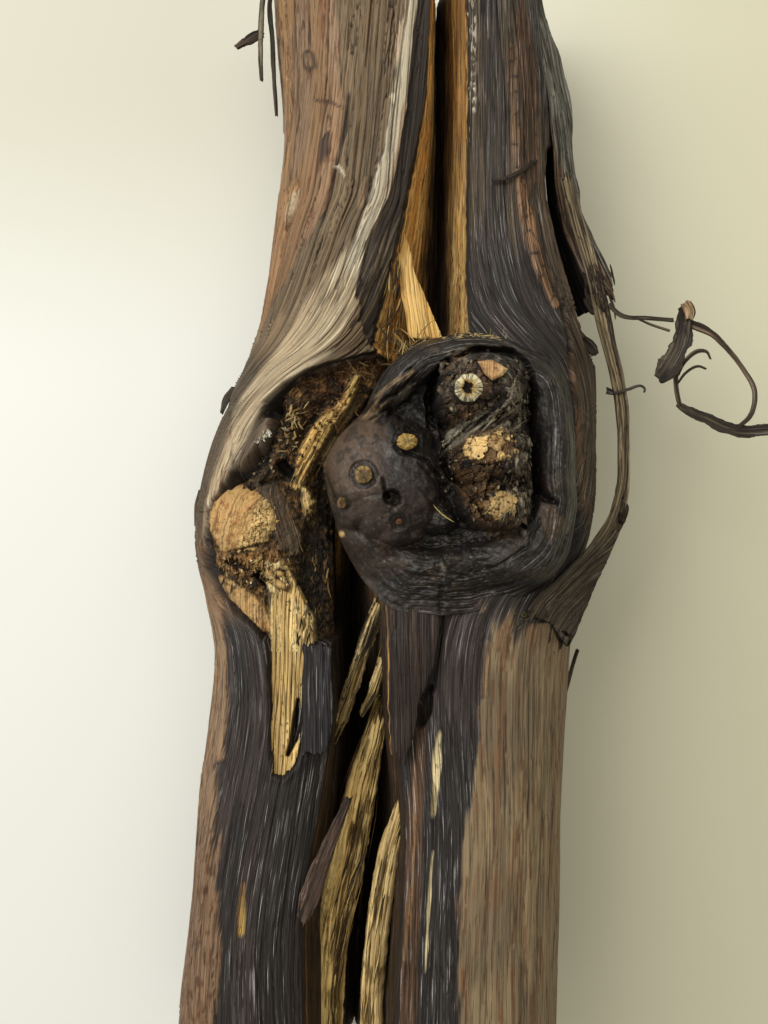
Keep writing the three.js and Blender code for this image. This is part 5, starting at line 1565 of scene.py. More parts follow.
def strand(name, spec, paint):
    # a strip along a path: a flat or round superellipse, cupped across, with torn edges and
    # fibres that end at different lengths
    spec = {**plainStrand, **spec}
    seed = spec["seed"]
    at, path = smoothPath(spec["points"], 0.35)
    forward = np.gradient(path[:, :3], axis=0)
    forward /= np.linalg.norm(forward, axis=1, keepdims=True)
    across = np.cross(forward, np.array(spec["face"], float))
    across /= np.linalg.norm(across, axis=1, keepdims=True)
    angle = np.linspace(0, 2 * np.pi, spec["columns"], endpoint=False)
    u, v = (np.sign(c) * np.abs(c) ** (2 / spec["power"]) for c in (np.cos(angle), np.sin(angle)))
    low, high = tornEnds(u, 3.1, 9, 0.5, spec["torn"], seed)
    s = low + (at[-1] - high - low) * np.linspace(0, 1, len(at))[:, None]
    place, across, proud = (readAlong(s, at, way) for way in (path, across, np.cross(across, forward)))
    rim = np.sign(u) * 3
    uneven = noise(s * 0.5, rim, seed + 2) + 0.5 * noise(s * 2.1, rim, seed + 3)
    width = place[..., 3] * 0.5 * (1 + spec["ragged"] * uneven)
    half = 0.5 * spec["thickness"] * (1 + 0.2 * noise(s * 0.3, 0, seed + 4))
    value, side = strips(u * width + 20, s, spec["fibre"], 16.0, seed + 5)[:2]
    lines = rough(u * width * 2.2, s * 0.09, 3, seed + 6)
    relief = spec["relief"] * (1.2 * (value - 0.5) + lines - 1.2 * smooth(0.18, 0, side))
    cup = spec["cup"] * (u * u - 0.5) * width
    points = place[..., :3] + across * (u * width)[..., None]
    points = points + proud * (v * half + relief * v + cup)[..., None]
    points[..., 1] = np.clip(points[..., 1], -sawnAt, sawnAt)
    coat = fibrous(spec)
    coat.lay(smooth(-0.35, 0.45, lines + (value - 0.5)), "other")
    blotches = smooth(0.1, 0.5, rough(u * width, s * 0.1, 3, seed + 8))
    coat.lay(np.maximum(smooth(0.2, 0.02, side), blotches), "dark", spec["shade"])
    # painted shade on the underside
    coat.lay(v < -0.2, "dark", spec["under"])
    fields = coat.fields(u * width + 3 * v, s, seed, spec["sheen"], spec["bite"])
    return tube(name, points, fields, [paint], standsFor(spec))


def flap(name, spec):
    # a flat piece of bark between two edges given in the photograph's pixels
    seed = spec["seed"]
    py, t, left, right = ruled(spec)
    left, right = left + noise(py * 0.09, 0, seed), right + noise(py * 0.09, 9, seed)
    px = left + (right - left) * t
    torn = spec["torn"] * (0.5 + 0.5 * noise(px * 0.35, 0, seed + 1))
    topTorn = spec.get("topTorn", 0) * (0.5 + 0.5 * noise(px * 0.3, 0, seed + 2))
    share = np.linspace(0, 1, len(py))[:, None]
    py = py - torn * share ** 3 + topTorn * (1 - share) ** 3
    value, side = strips(px * 0.2, py * 0.2, 2.4, 50.0, seed + 3)[:2]
    lines = rough(px * 0.5, py * 0.016, 4, seed + 4)
    relief = 0.22 * (value - 0.5) + 0.16 * lines - 0.2 * smooth(0.2, 0.05, side)
    z = np.interp(py, *zip(*spec["heights"])) + relief - 0.8 * (2 * t - 1) ** 2
    x, y = fromPhoto(px, py, z)
    coat = fibrous(spec)
    coat.lay(smooth(-0.2, 0.6, lines), "other")
    coat.lay(smooth(0.6, 0.9, value), "other", 0.5)
    coat.lay(smooth(0.2, 0.04, side) * smooth(-0.2, 0.3, lines), "dark", 0.8)
    coat.lay(smooth(0.05, 0.0, 1 - t), "dark", 0.8)
    coat.lay(smooth(0.045, 0.02, t), tone(*spec["rim"]) if "rim" in spec else "dark", 0.9)
    fields = coat.fields(px * 0.2, py * 0.2, seed, spec["sheen"])
    return sheet(name, stack(x, y, z), fields, "bark", standsFor(spec), spec["thickness"])


flaps = {
    "tongueRight": dict(stands="bark_tongue_right", rows=(598, 766), grid=(260, 110), seed=301,
        left=[(386, 598), (387, 640), (388, 700), (389, 740), (391, 766)], right=[(441, 598), (438, 640),
            (435, 664), (428, 682), (419, 699), (415, 735), (412, 752), (406, 766)],
        heights=[(598, 62.4), (612, 64.0), (640, 64.4), (700, 64.0), (766, 63.0)], torn=14,
        tones=((46, 36, 34), (64, 49, 42), (22, 17, 16)), thickness=1.5, sheen=0.12,
        rim=(176, 134, 82)),
    "tongueLeft": dict(stands="bark_tongue_left", rows=(641, 757), grid=(200, 70), seed=311,
        left=[(303, 641), (302, 690), (302, 730), (301, 757)],
        right=[(331, 641), (332, 680), (332, 723), (326, 757)],
        heights=[(641, 58.8), (700, 59.8), (757, 60.2)], torn=6, topTorn=12,
        tones=((38, 36, 40), (64, 63, 68), (20, 18, 19)), thickness=1.4, sheen=0.8),
}
for flapName, spec in flaps.items():
    flap(flapName, spec)

splintTones = ((190, 158, 98), (244, 218, 158), (52, 40, 24))
splinters = {
    "splinterA": dict(stands="splinter_a", thickness=2.2, face=(0.2, 0, 1), seed=411, tones=splintTones,
        torn=(2, 5), ragged=0.16, points=[(-0.2, -18.4, 46, 3), (-4.6, -30.4, 46.5, 3.2),
            (-8.8, -43.2, 47, 3), (-10.9, -50, 46, 1.6)]),
    "splinterB": dict(stands="splinter_b", thickness=1.8, seed=421, tones=splintTones, torn=(2, 2),
        ragged=0.16, points=[(0.6, -29.2, 48, 2.2), (-2.2, -38, 49, 2.2), (-4.8, -43.4, 48.6, 1.2)]),
    "splinterMain": dict(stands="splinter_main", thickness=4.4, face=(0.35, 0, 1), seed=431,
        tones=((194, 162, 98), (222, 192, 126), (92, 72, 42)), bite=0.3, shade=0.4, torn=(6, 0),
        ragged=0.05, columns=84, relief=0.4, fibre=0.9, power=2.4, sheen=0.5,
        points=[(-0.3, -40.4, 43.6, 2.4), (-2.8, -51.4, 44.4, 5), (-5.8, -64.4, 45, 7.6),
            (-8.4, -77.2, 45, 8.2), (-11, -89.8, 44, 7.8), (-12.4, -105, 43, 7.4),
            (-12.8, -130, 42.6, 7.4)]),
    "splinterRight": dict(stands="splinter_right", thickness=4, face=(-0.3, 0, 1), seed=441,
        tones=((176, 148, 98), (220, 192, 136), (76, 60, 38)), bite=0.35, shade=0.4,
        torn=(5, 0), ragged=0.05, columns=64, relief=0.35, power=2.4, sheen=0.5,
        points=[(5.6, -52.6, 52, 1.2), (4, -61.4, 51, 2.6), (1.2, -72, 50, 4.6), (-0.6, -83, 49, 5),
            (-1.8, -94, 48, 5), (-2.6, -106, 47, 5), (-2.8, -130, 47, 5)]),
}
for splinterName, spec in splinters.items():
    strand(splinterName, spec, "wood")
sliver = dict(stands="bark_sliver", thickness=1, face=(0.5, 0, 1), seed=451, torn=(1, 2), under=0.2,
    tones=((92, 70, 60), (124, 100, 84), (40, 30, 26)), points=[(-7, -58.4, 55.6, 1.4),
        (-11.4, -69, 55.6, 3.2), (-15.2, -78.6, 57.8, 4.4), (-17, -84, 60, 2.0)])
strand("sliver", sliver, "bark")

curlTones = ((62, 55, 47), (90, 80, 66), (30, 25, 22))
loopTones = ((84, 70, 56), (128, 108, 86), (44, 36, 29))
plateTones = ((120, 108, 90), (160, 148, 124), (50, 42, 34))
peels = {
    "curlStem": dict(stands="curl_stem", thickness=0.8, seed=521, tones=curlTones, columns=20, power=2.2,
        points=[(49, 45.6, 45, 1), (52.2, 42.8, 45.4, 1), (57.6, 42.3, 45.6, 0.9), (63.4, 41.8, 45.6, 0.9)]),
    "curlPlate": dict(stands="curl_plate", thickness=0.8, face=(-0.3, 0.1, 1), seed=531, tones=curlTones,
        torn=(1, 2), cup=0.2, ragged=0.2, points=[(65.3, 45.3, 46, 2), (65.3, 40.5, 46, 3.5),
            (64.4, 35.8, 45.6, 4.4), (62.1, 31.5, 45, 4.4), (59.5, 27.4, 44.4, 1.5)]),
    "curlLoop": dict(stands="curl_loop", thickness=0.4, seed=541, tones=loopTones, torn=(0, 0), columns=20,
        power=2.6, under=0.2, points=[(65.4, 41.4, 46, 1.8), (69.4, 39.9, 46, 1.9), (72.2, 38.4, 45.6, 1.4),
            (76.1, 34.5, 45.2, 1.1), (79.1, 30.7, 44.8, 1.1), (81.2, 27.2, 44.4, 1.2),
            (81.5, 23.8, 44, 1.2), (80.8, 21, 43.0, 1.1), (78.8, 18.9, 42.1, 1)]),
    "curlDrop": dict(stands="curl_drop", thickness=0.45, seed=551, tones=loopTones, columns=20, torn=(0, 0),
        points=[(63.9, 33, 45, 1.1), (64.4, 27.3, 43.8, 1), (65.6, 23.4, 42.6, 1)]),
    "curlTail": dict(stands="curl_tail", thickness=0.9, seed=561, tones=curlTones, torn=(1, 1), ragged=0.14,
        cup=0.2, points=[(64.7, 24.2, 42.4, 1.3), (68.4, 22, 42.2, 2.2), (71.8, 20.7, 42, 2.4),
            (75.7, 18.9, 41.8, 2.7), (79.8, 18, 41.6, 2.7), (85.6, 18.3, 41.6, 2.5), (88, 18.6, 41.6, 2)]),
    "shredDark": dict(stands="shred_dark", thickness=0.7, face=(-1, 0, 0.6), seed=571,
        tones=((70, 60, 52), (98, 84, 70), (34, 28, 24)), columns=20,
        points=[(-24, 126.6, 32, 1.8), (-26.4, 118.6, 34, 1.8), (-25.8, 109.3, 34.4, 1.9),
            (-25.4, 100, 34.2, 1.6), (-24.9, 91.7, 33.6, 0.9)]),
    "shredPale": dict(stands="shred_pale", thickness=0.6, face=(-0.4, 0, 1), seed=581, tones=plateTones,
        columns=20, points=[(-24.6, 126.8, 35, 1.4), (-27.6, 118.6, 36, 1.4), (-28.2, 111.6, 36, 1.4),
            (-28.4, 105, 35.6, 1.2), (-28.2, 99, 35, 0.8)]),
    "shredChip": dict(stands="shred_chip", thickness=0.8, seed=591, columns=24,
        tones=((58, 46, 38), (86, 70, 56), (30, 24, 20)), ragged=0.25,
        points=[(-27.6, 110.8, 34.6, 2), (-30.8, 109.6, 34.2, 2.4), (-34.6, 107.6, 33.6, 1)]),
    "sideTwig": dict(stands="side_twig", thickness=0.8, seed=601, columns=20, power=2.2,
        tones=((62, 50, 40), (88, 72, 54), (30, 24, 20)), points=[(43.6, -30.6, 40, 0.8),
            (42.5, -35, 39, 0.9), (41.4, -40, 38, 0.9), (40.2, -46, 36.4, 0.9), (38.4, -49.4, 35, 0.9)]),
}
for peelName, spec in peels.items():
    strand(peelName, spec, "weatheredBark")


# what a ribbon is like where its own dictionary doesn't say. Its edges are px, py, z on the left,
# then on the right; deep and foot say where its side and its lower end turn dark, deep with painted shade
plainRibbon = dict(torn=(1, 1), ragged=0.3, fibre=1.1, camber=0, wave=0.3, shade=0.8, deep=0, foot=(2, 3),
    bite=1, sheen=0.3, paint="weatheredBark")


def ribbon(name, spec):
    # a bent sheet of bark between two edges given in the photograph: the cubic through the
    # edges' places, a camber across, and thickness laid off along the normal
    spec = {**plainRibbon, **spec}
    seed = spec["seed"]
    rowCount, columns = spec["grid"]
    leftX, leftY, leftZ, rightX, rightY, rightZ = np.array(spec["edges"], float).T
    start, end = fromPhoto(leftX, leftY, leftZ), fromPhoto(rightX, rightY, rightZ)
    both = np.column_stack([*start, leftZ, *end, rightZ])
    middle = 0.5 * (both[:, :3] + both[:, 3:])
    run = np.concatenate([[0], np.cumsum(np.linalg.norm(np.diff(middle, axis=0), axis=1))])
    rows = np.column_stack([run, both])
    t = np.linspace(0, 1, columns)[None]
    low, high = tornEnds(t, 7, 14, 0.6, spec["torn"], seed)
    s = low + (run[-1] - high - low) * np.linspace(0, 1, rowCount)[:, None]
    at = [track(rows, n, s) for n in range(1, 7)]
    points = stack(*[at[n] * (1 - t) + at[n + 3] * t for n in range(3)])
    wide = np.hypot(at[3] - at[0], at[5] - at[2])
    points[..., 0] += spec["ragged"] * (2 * t - 1) * noise(s * 0.2, np.sign(t - 0.5) * 4, seed + 2)
    points[..., 1] = np.clip(points[..., 1], -sawnAt, sawnAt)
    normal = outward(points)
    normal = normal * np.sign(normal[..., 2:3].mean())
    value, side = strips(t * wide, s, spec["fibre"], 26.0, seed + 3)[:2]
    lines = rough(t * wide * 2.2, s * 0.08, 3, seed + 4)
    relief = spec["relief"] * (1.2 * (value - 0.5) + lines - 1.2 * smooth(0.2, 0, side))
    lift = spec["camber"] * 4 * t * (1 - t) + spec["wave"] * noise(s * 0.12, t * 2, seed + 5)
    thin = spec["thickness"] * (0.25 + 0.75 * np.clip(6 * t * (1 - t), 0, 1))
    upper, lower = (points + normal * (lift + rise)[..., None] for rise in (relief, -thin))
    rings = np.concatenate([upper, lower[:, ::-1]], axis=1)
    rings[..., 1] = np.clip(rings[..., 1], -sawnAt, sawnAt)
    coat = fibrous(spec)
    coat.lay(smooth(-0.35, 0.45, lines + (value - 0.5)), "other")
    if "second" in spec:
        # two other tones on the left of a line in the photograph
        line, main, other = spec["second"]
        px, py = inPhoto(*np.moveaxis(rings[:, :columns], -1, 0))
        beyond = 1 - smooth(-4, 4, px - edgeAt(line, py) + 6 * lines)
        coat.lay(beyond, blend(tone(*main), tone(*other), value))
    blotches = smooth(0.1, 0.5, rough(t * wide, s * 0.2, 3, seed + 8))
    coat.lay(np.maximum(smooth(0.2, 0.02, side), blotches), "dark", spec["shade"])
    coat.lay(smooth(spec["deep"], spec["deep"] - 0.12, t), "dark")
    coat.lay(smooth(*spec["foot"], s / run[-1] + 0.04 * lines), coat.tone("dark") * 1.6, 0.75)
    fields = coat.fields(t * wide, s, seed, spec["sheen"], spec["bite"])
    # the underside repeats the upper side's attributes with the tint halved, a painted shade
    for key, values in fields.items():
        under = values[:, ::-1] * (0.5 if key == "tint" else 1.0)
        fields[key] = np.concatenate([values, under], axis=1)
    return tube(name, rings, fields, [spec["paint"]], standsFor(spec))


sheets = {
    "plate": dict(stands="bark_plate", seed=501, grid=(280, 56), thickness=1.5, torn=(0, 4), relief=0.22,
        camber=0.5, sheen=0.5, ragged=0.35,
        tones=((112, 110, 104), (140, 138, 128), (52, 47, 42)), second=(
            [(500, -80), (548, 100), (560, 160), (574, 200), (600, 262), (640, 330)], (122, 96, 70),
            (92, 70, 52)), edges=[(512, -75, 46, 531, -75, 39), (526, 4, 46, 543, 4, 40),
            (543, 62, 47, 562, 62, 40), (550, 110, 46, 570, 110, 40), (553, 149, 45, 575, 149, 40),
            (558, 194, 44, 580, 194, 41), (566, 236, 44, 593, 236, 42), (580, 270, 44, 609, 270, 43),
            (598, 302, 44, 616, 306, 44)]),
    "bow": dict(stands="bark_bow", seed=511, grid=(420, 48), thickness=1.0, torn=(3, 6), relief=0.16,
        camber=-0.35, sheen=0.35, ragged=0.12, wave=0.25, fibre=0.9, foot=(0.68, 0.8),
        tones=((110, 96, 75), (158, 141, 110), (40, 33, 27)), shade=0.6,
        edges=[(558, 168, 47, 568, 165, 46.4), (571, 220, 46.4, 583, 217, 45.8),
            (583, 262, 46, 597, 258, 45.2), (592, 300, 46, 607, 296, 45), (601, 340, 45.5, 616, 337, 44.5),
            (610, 376, 45, 624, 374, 44), (616, 410, 44.6, 629, 409, 43.6),
            (618, 450, 44.4, 631, 450, 43.4), (617, 485, 44.8, 630, 488, 43.6),
            (611, 512, 45.8, 624, 520, 44), (598, 535, 48.6, 612, 549, 46), (578, 558, 54, 600, 576, 48),
            (556, 580, 58.6, 590, 600, 50), (540, 595, 61.4, 582, 620, 51.4), (528, 612, 63, 575, 638, 53),
            (516, 632, 63.4, 568, 652, 55)]),
    "blade": dict(stands="splinter_upper", seed=401, grid=(160, 60), thickness=1.6, torn=(1, 0.5),
        relief=0.1, camber=0.4, paint="wood", shade=0.2, bite=0.2,
        tones=((200, 160, 92), (226, 190, 122), (140, 98, 52)), edges=[
            (401, 226, 43, 405, 228, 43), (399, 258, 44, 412, 262, 43.4), (401, 288, 45, 421, 288, 43.6),
            (404, 312, 46.4, 431, 312, 44.4), (409, 340, 48, 444, 340, 45.6)]),
    # a dark sheet from the plate down into the crevice, most of it painted shade
    "plateRootShade": dict(seed=505, grid=(160, 30), thickness=1.2, relief=0.2,
        tones=((44, 36, 30), (64, 50, 40), (20, 16, 14)), deep=0.7,
        edges=[(543, 140, 40, 556, 140, 44), (545, 194, 33, 560, 194, 43), (552, 236, 32, 569, 236, 43),
            (566, 286, 32, 592, 286, 43), (580, 320, 33, 603, 306, 43)]),
}
for sheetName, spec in sheets.items():
    ribbon(sheetName, spec)
trims = {
    "bowNub": dict(points=[(48.6, 26.8, 44, 1.6), (50.6, 26.2, 44, 1.2), (51.8, 25.6, 44.2, 0.6)],
        thickness=0.7, seed=621, tones=curlTones, columns=20),
    "bowThread": dict(points=[(50.2, 26.0, 44.4, 0.7), (53.6, 26.9, 45, 0.7), (55.9, 27.6, 45.4, 0.6),
            (56.9, 26.9, 45.6, 0.5), (56.6, 25.8, 45.8, 0.4)], thickness=0.5, seed=631, tones=curlTones,
        columns=12, power=2),
    "bowShred": dict(points=[(44.0, 38.6, 42, 2.0), (45.4, 36.4, 44, 2.6), (46.4, 34.2, 45, 1.6)],
        thickness=0.6, seed=641, tones=curlTones, columns=24),
    "curlCrook": dict(points=[(64.3, 29.6, 44.6, 0.7), (65.4, 32.4, 45.2, 0.9), (67.8, 34.8, 46, 1.0),
            (70.2, 34.9, 46, 0.7), (71.2, 33.0, 46, 0.4)], thickness=0.3, seed=651, tones=loopTones,
        columns=14, power=2),
    "curlCrookLow": dict(points=[(64.4, 28.0, 44.2, 0.5), (66.0, 30.4, 45, 0.6), (68.4, 31.8, 45.6, 0.6),
            (70.6, 31.0, 45.8, 0.4)], thickness=0.3, seed=655, tones=loopTones, columns=14, power=2),
    "curlStemLow": dict(points=[(54.5, 42.6, 45.4, 0.4), (58.5, 40.8, 45.6, 0.6), (62.6, 39.4, 45.8, 0.6)],
        thickness=0.35, seed=657, tones=loopTones, columns=14, power=2),
    "barkThread": dict(points=[(22.2, 69.0, 54.4, 0.7), (25.0, 69.0, 55.2, 0.9), (28.4, 70.8, 54.6, 0.9),
            (31.4, 73.6, 52.4, 0.8), (33.2, 75.0, 50.0, 0.6)], thickness=0.7, seed=671, tones=curlTones,
        columns=14, power=2),
    "edgeFlakeHigh": dict(points=[(-34.8, 29.5, 33, 0.8), (-36.7, 26.2, 33, 2.0), (-37.9, 22.6, 33, 0.8)],
        thickness=0.5, face=(-0.6, 0, 1), seed=681, tones=curlTones, columns=24),
    "edgeFlakeMid": dict(points=[(-42.7, 5.4, 33, 0.8), (-43.5, 1.5, 33, 1.5), (-43.7, -3.5, 33, 1.0)],
        thickness=0.5, face=(-0.5, 0, 1), seed=685, tones=curlTones, columns=24),
    "edgeFlakeLow": dict(points=[(-43.3, -8.6, 33, 0.8), (-42.4, -13.4, 33, 1.7), (-40.6, -19.2, 33, 0.9)],
        thickness=0.5, face=(-0.5, 0, 1), seed=689, tones=curlTones, columns=24),
    "curlChip": dict(points=[(65.2, 45.8, 46.8, 2.2), (66.2, 43.4, 47, 2.6), (66.0, 41.4, 47, 1.4)],
        thickness=0.7, seed=661, columns=26,
        tones=((150, 124, 92), (178, 152, 118), (70, 54, 40))),
}
for trimName, spec in trims.items():
    strand(trimName, spec, "weatheredBark")
print("strips and peels made")


# Loose fibres and chips

def randoms(count, columns, seed):
    # a table of fixed random numbers 0..1
    return hashed(np.arange(count)[:, None], np.arange(columns)[None], seed)


def onWound(px, py):
    # the height of the wound's floor at a pixel
    return limbTop(leftLimb, *fromPhoto(px, py, 50.0)) - woundLook(px, py)[0]


def onBurl(px, py):
    # the height of the burl at a pixel
    return burlHeight(*fromPhoto(px, py, 72.0))


def onLeft(px, py):
    # the height of the left limb's upper side at a pixel
    return limbTop(leftLimb, *fromPhoto(px, py, 50.0))


def onRight(px, py):
    # the height of the right limb's upper side at a pixel
    return limbTop(rightLimb, *fromPhoto(px, py, 56.0))


def manyOf(name, points, tint, grain, quads, triangles, paint):
    # copies of one small form as one mesh; the lists hold a table for each group, by copy and
    # vertex
    points, tint, grain = (np.concatenate(tables) for tables in (points, tint, grain))
    copies, size = points.shape[:2]
    base = (np.arange(copies) * size)[:, None, None]
    points = points.reshape(-1, 3)
    points[:, 1] = np.clip(points[:, 1], -sawnAt, sawnAt)
    fields = {"tint": np.repeat(tint, size, axis=0), "grain": grain.reshape(-1, 3),
              "sheen": np.zeros(len(points))}
    return makePiece(name, points, (base + quads).reshape(-1, 4), (base + triangles).reshape(-1, 3),
                     [paint], (), fields)


def pick(colours, r):
    # one of the colours for each random number
    colours = np.array([tone(*colour) for colour in colours])
    return colours[(r * 0.999 * len(colours)).astype(int)]


def lying(group, r, length, run):
    # fibres along a strand's path, side by side over its rounded top
    at, path = smoothPath(group["path"], 0.5)
    s = np.clip(r[:, :1] * at[-1] - 0.3 * length + run, 0, at[-1])
    place = readAlong(s, at, path)
    forward = np.gradient(place[..., :3], axis=1)
    forward = forward / (np.linalg.norm(forward, axis=-1, keepdims=True) + 1e-9)
    u = 1.9 * (r[:, 1:2] - 0.5) + 0.25 * noise(s * 0.12, np.arange(len(r))[:, None], 5)
    reach = 0.5 * u * place[..., 3]
    lift = group["lift"] * (1.2 - u * u) + 0.5 * r[:, 3:4]
    return place[..., :3] + stack(forward[..., 1] * reach, -forward[..., 0] * reach, lift)


def placed(group, r):
    # random places in a patch of the photograph, on the surface there or at one height
    (left, top), (right, low) = group["patch"]
    px, py = left + (right - left) * r[:, 0], top + (low - top) * r[:, 1]
    z = group["on"](px, py) if callable(group["on"]) else group["on"]
    x, y = fromPhoto(px, py, z)
    return stack(x, y, z + group.get("lift", 0.1))


def hairs(name, groups, paint):
    # bent fibres as one mesh: each a tapered tube along a parabola that starts in a patch of the
    # photograph, or along a strand
    rows, sides = 9, 5
    t = np.linspace(0, 1, rows)
    angle = np.linspace(0, 2 * np.pi, sides, endpoint=False)
    points, tint, grain = [], [], []
    for number, group in enumerate(groups.values()):
        r = randoms(group["count"], 9, 700 + 13 * number)
        turn = np.radians(group["turn"] + group["spread"] * (r[:, 2] - 0.5) * 2)
        aside = stack(-np.sin(turn), np.cos(turn), 0.6 * (r[:, 7] - 0.5))
        length = group["length"] * (0.4 + 0.9 * r[:, 4:5])
        run = length * t
        if "path" in group:
            centre = lying(group, r, length, run)
        else:
            tilt = np.radians(group["tilt"] * (r[:, 3] * 1.6 - 0.3))
            way = stack(np.cos(turn) * np.cos(tilt), np.sin(turn) * np.cos(tilt), np.sin(tilt))
            bend = group["bend"] * (r[:, 5:6] - 0.5) * 2 * length * t * t
            centre = placed(group, r)[:, None] + way[:, None] * run[..., None]
            centre = centre + aside[:, None] * bend[..., None]
        thick = group["thick"] * (0.4 + r[:, 6:7] ** 2) * (1 - 0.75 * (2 * t - 1) ** 4)
        wide = aside[:, None, None] * np.cos(angle)[:, None] * group.get("flat", 1.0)
        ring = (wide + [0, 0, 1.0] * np.sin(angle)[:, None]) * thick[..., None, None]
        points.append((centre[:, :, None] + ring).reshape(len(r), -1, 3))
        tint.append(pick(group["tones"], r[:, 8]))
        index = np.arange(len(r))[:, None, None]
        grain.append(stack(angle, run[..., None], index).reshape(len(r), -1, 3))
    cap = np.array([[0, 2, 1], [0, 3, 2], [0, 4, 3]])
    caps = np.concatenate([cap, cap[:, ::-1] + (rows - 1) * sides])
    return manyOf(name, points, tint, grain, gridQuads(rows, sides, wrap=True), caps, paint)


def chips(name, groups, paint):
    # flakes as one mesh: each an uneven seven-cornered plate, tilted at random
    corners = 7
    angle = np.linspace(0, 2 * np.pi, corners, endpoint=False)
    points, tint = [], []
    for number, group in enumerate(groups.values()):
        r = randoms(group["count"], 24, 900 + 17 * number)
        reach = group["size"] * (0.3 + 0.8 * r[:, 2:3] ** 2) * (0.6 + 0.8 * r[:, 5:5 + corners])
        turn = 2 * np.pi * r[:, 3:4] if group.get("free", True) else np.pi / 2 + 0.3 * (r[:, 3:4] - 0.5)
        u, v = reach * np.cos(angle) * group.get("stretch", 1.6), reach * np.sin(angle)
        dx, dy = u * np.cos(turn) - v * np.sin(turn), u * np.sin(turn) + v * np.cos(turn)
        rim = stack(dx, dy, 0.9 * (dx * (r[:, 14:15] - 0.5) + dy * (r[:, 15:16] - 0.5)))
        middle, thick = placed(group, r)[:, None], np.array([0, 0, group["size"] * 0.16])
        points.append(np.concatenate([middle + thick, middle + rim, middle - thick], axis=1))
        tint.append(pick(group["tones"], r[:, 4]))
    ring = np.arange(corners) + 1
    triangles = np.concatenate([fan(ring, 0), fan(ring, corners + 1)[:, [1, 0, 2]]])
    grain = [table * [1, 0.3, 1] for table in points]
    return manyOf(name, points, tint, grain, np.zeros((0, 4), int), triangles, paint)


straws = ((214, 178, 108), (150, 112, 60), (236, 208, 140), (96, 72, 40))
pales = ((236, 220, 176), (190, 160, 104), (226, 200, 140))
darks = ((60, 48, 38), (104, 84, 60), (36, 29, 24))
mixed = straws + darks
# hairs and chips lie in a patch of the photograph, from its left top to its right low corner, on a
# surface or at one height; turn, spread and tilt are in degrees
woundHairs = {
    "nest": dict(patch=((280, 406), (306, 432)), on=onWound, count=34, length=1.9, turn=90, spread=180,
        tilt=20, thick=0.2, bend=0.3, tones=straws + pales, lift=0.7),
    "crumbs": dict(patch=((275, 436), (300, 452)), on=onWound, count=14, length=1.3, turn=20, spread=60,
        tilt=10, thick=0.2, bend=0.3, tones=pales, lift=0.6),
    "roots": dict(patch=((340, 352), (376, 374)), on=onWound, count=46, length=3.2, turn=220, spread=110,
        tilt=20, thick=0.13, bend=0.8, tones=pales + straws, lift=0.8),
    "ridge": dict(patch=((300, 424), (322, 486)), on=onWound, count=24, length=4.4, turn=242, spread=6,
        tilt=4, thick=0.14, bend=0.1, tones=straws, lift=0.1),
    "floor": dict(patch=((284, 366), (366, 440)), on=onWound, count=190, length=1.7, turn=230, spread=80,
        tilt=15, thick=0.13, bend=0.5, lift=0.2,
        tones=((150, 104, 56), (84, 58, 34), (196, 150, 86), (50, 36, 26))),
    "broken": dict(patch=((222, 556), (292, 584)), on=onWound, count=80, length=1.9, turn=270, spread=70,
        tilt=25, thick=0.15, bend=0.5, tones=mixed, lift=0.3),
    "below": dict(patch=((296, 540), (332, 636)), on=onWound, count=150, length=2.8, turn=262, spread=26,
        tilt=10, thick=0.15, bend=0.3, lift=0.2,
        tones=((150, 122, 76), (58, 46, 32), (190, 158, 100), (34, 30, 26))),
}
splitHairs = {
    "top": dict(patch=((392, 344), (424, 368)), on=49, count=40, length=5.0, turn=95, spread=50, tilt=20,
        thick=0.15, bend=0.7, tones=straws),
    "wallLeft": dict(patch=((386, 236), (402, 330)), on=46, count=40, length=6.5, turn=262, spread=8,
        tilt=8, thick=0.2, bend=0.2, tones=mixed),
}
for groupName, strandName, count, length, thick in (("along", "splinterMain", 150, 34, 0.42),
                                                    ("fine", "splinterMain", 150, 14, 0.2),
                                                    ("right", "splinterRight", 90, 22, 0.36),
                                                    ("rightFine", "splinterRight", 90, 9, 0.18),
                                                    ("a", "splinterA", 40, 14, 0.24),
                                                    ("b", "splinterB", 24, 9, 0.22)):
    splitHairs[groupName] = {"path": splinters[strandName]["points"], "count": count, "length": length,
                             "thick": thick, "flat": 1.7, "lift": 0.35 * splinters[strandName]["thickness"],
                             "turn": 0, "spread": 0, "tones": straws + darks[:1]}
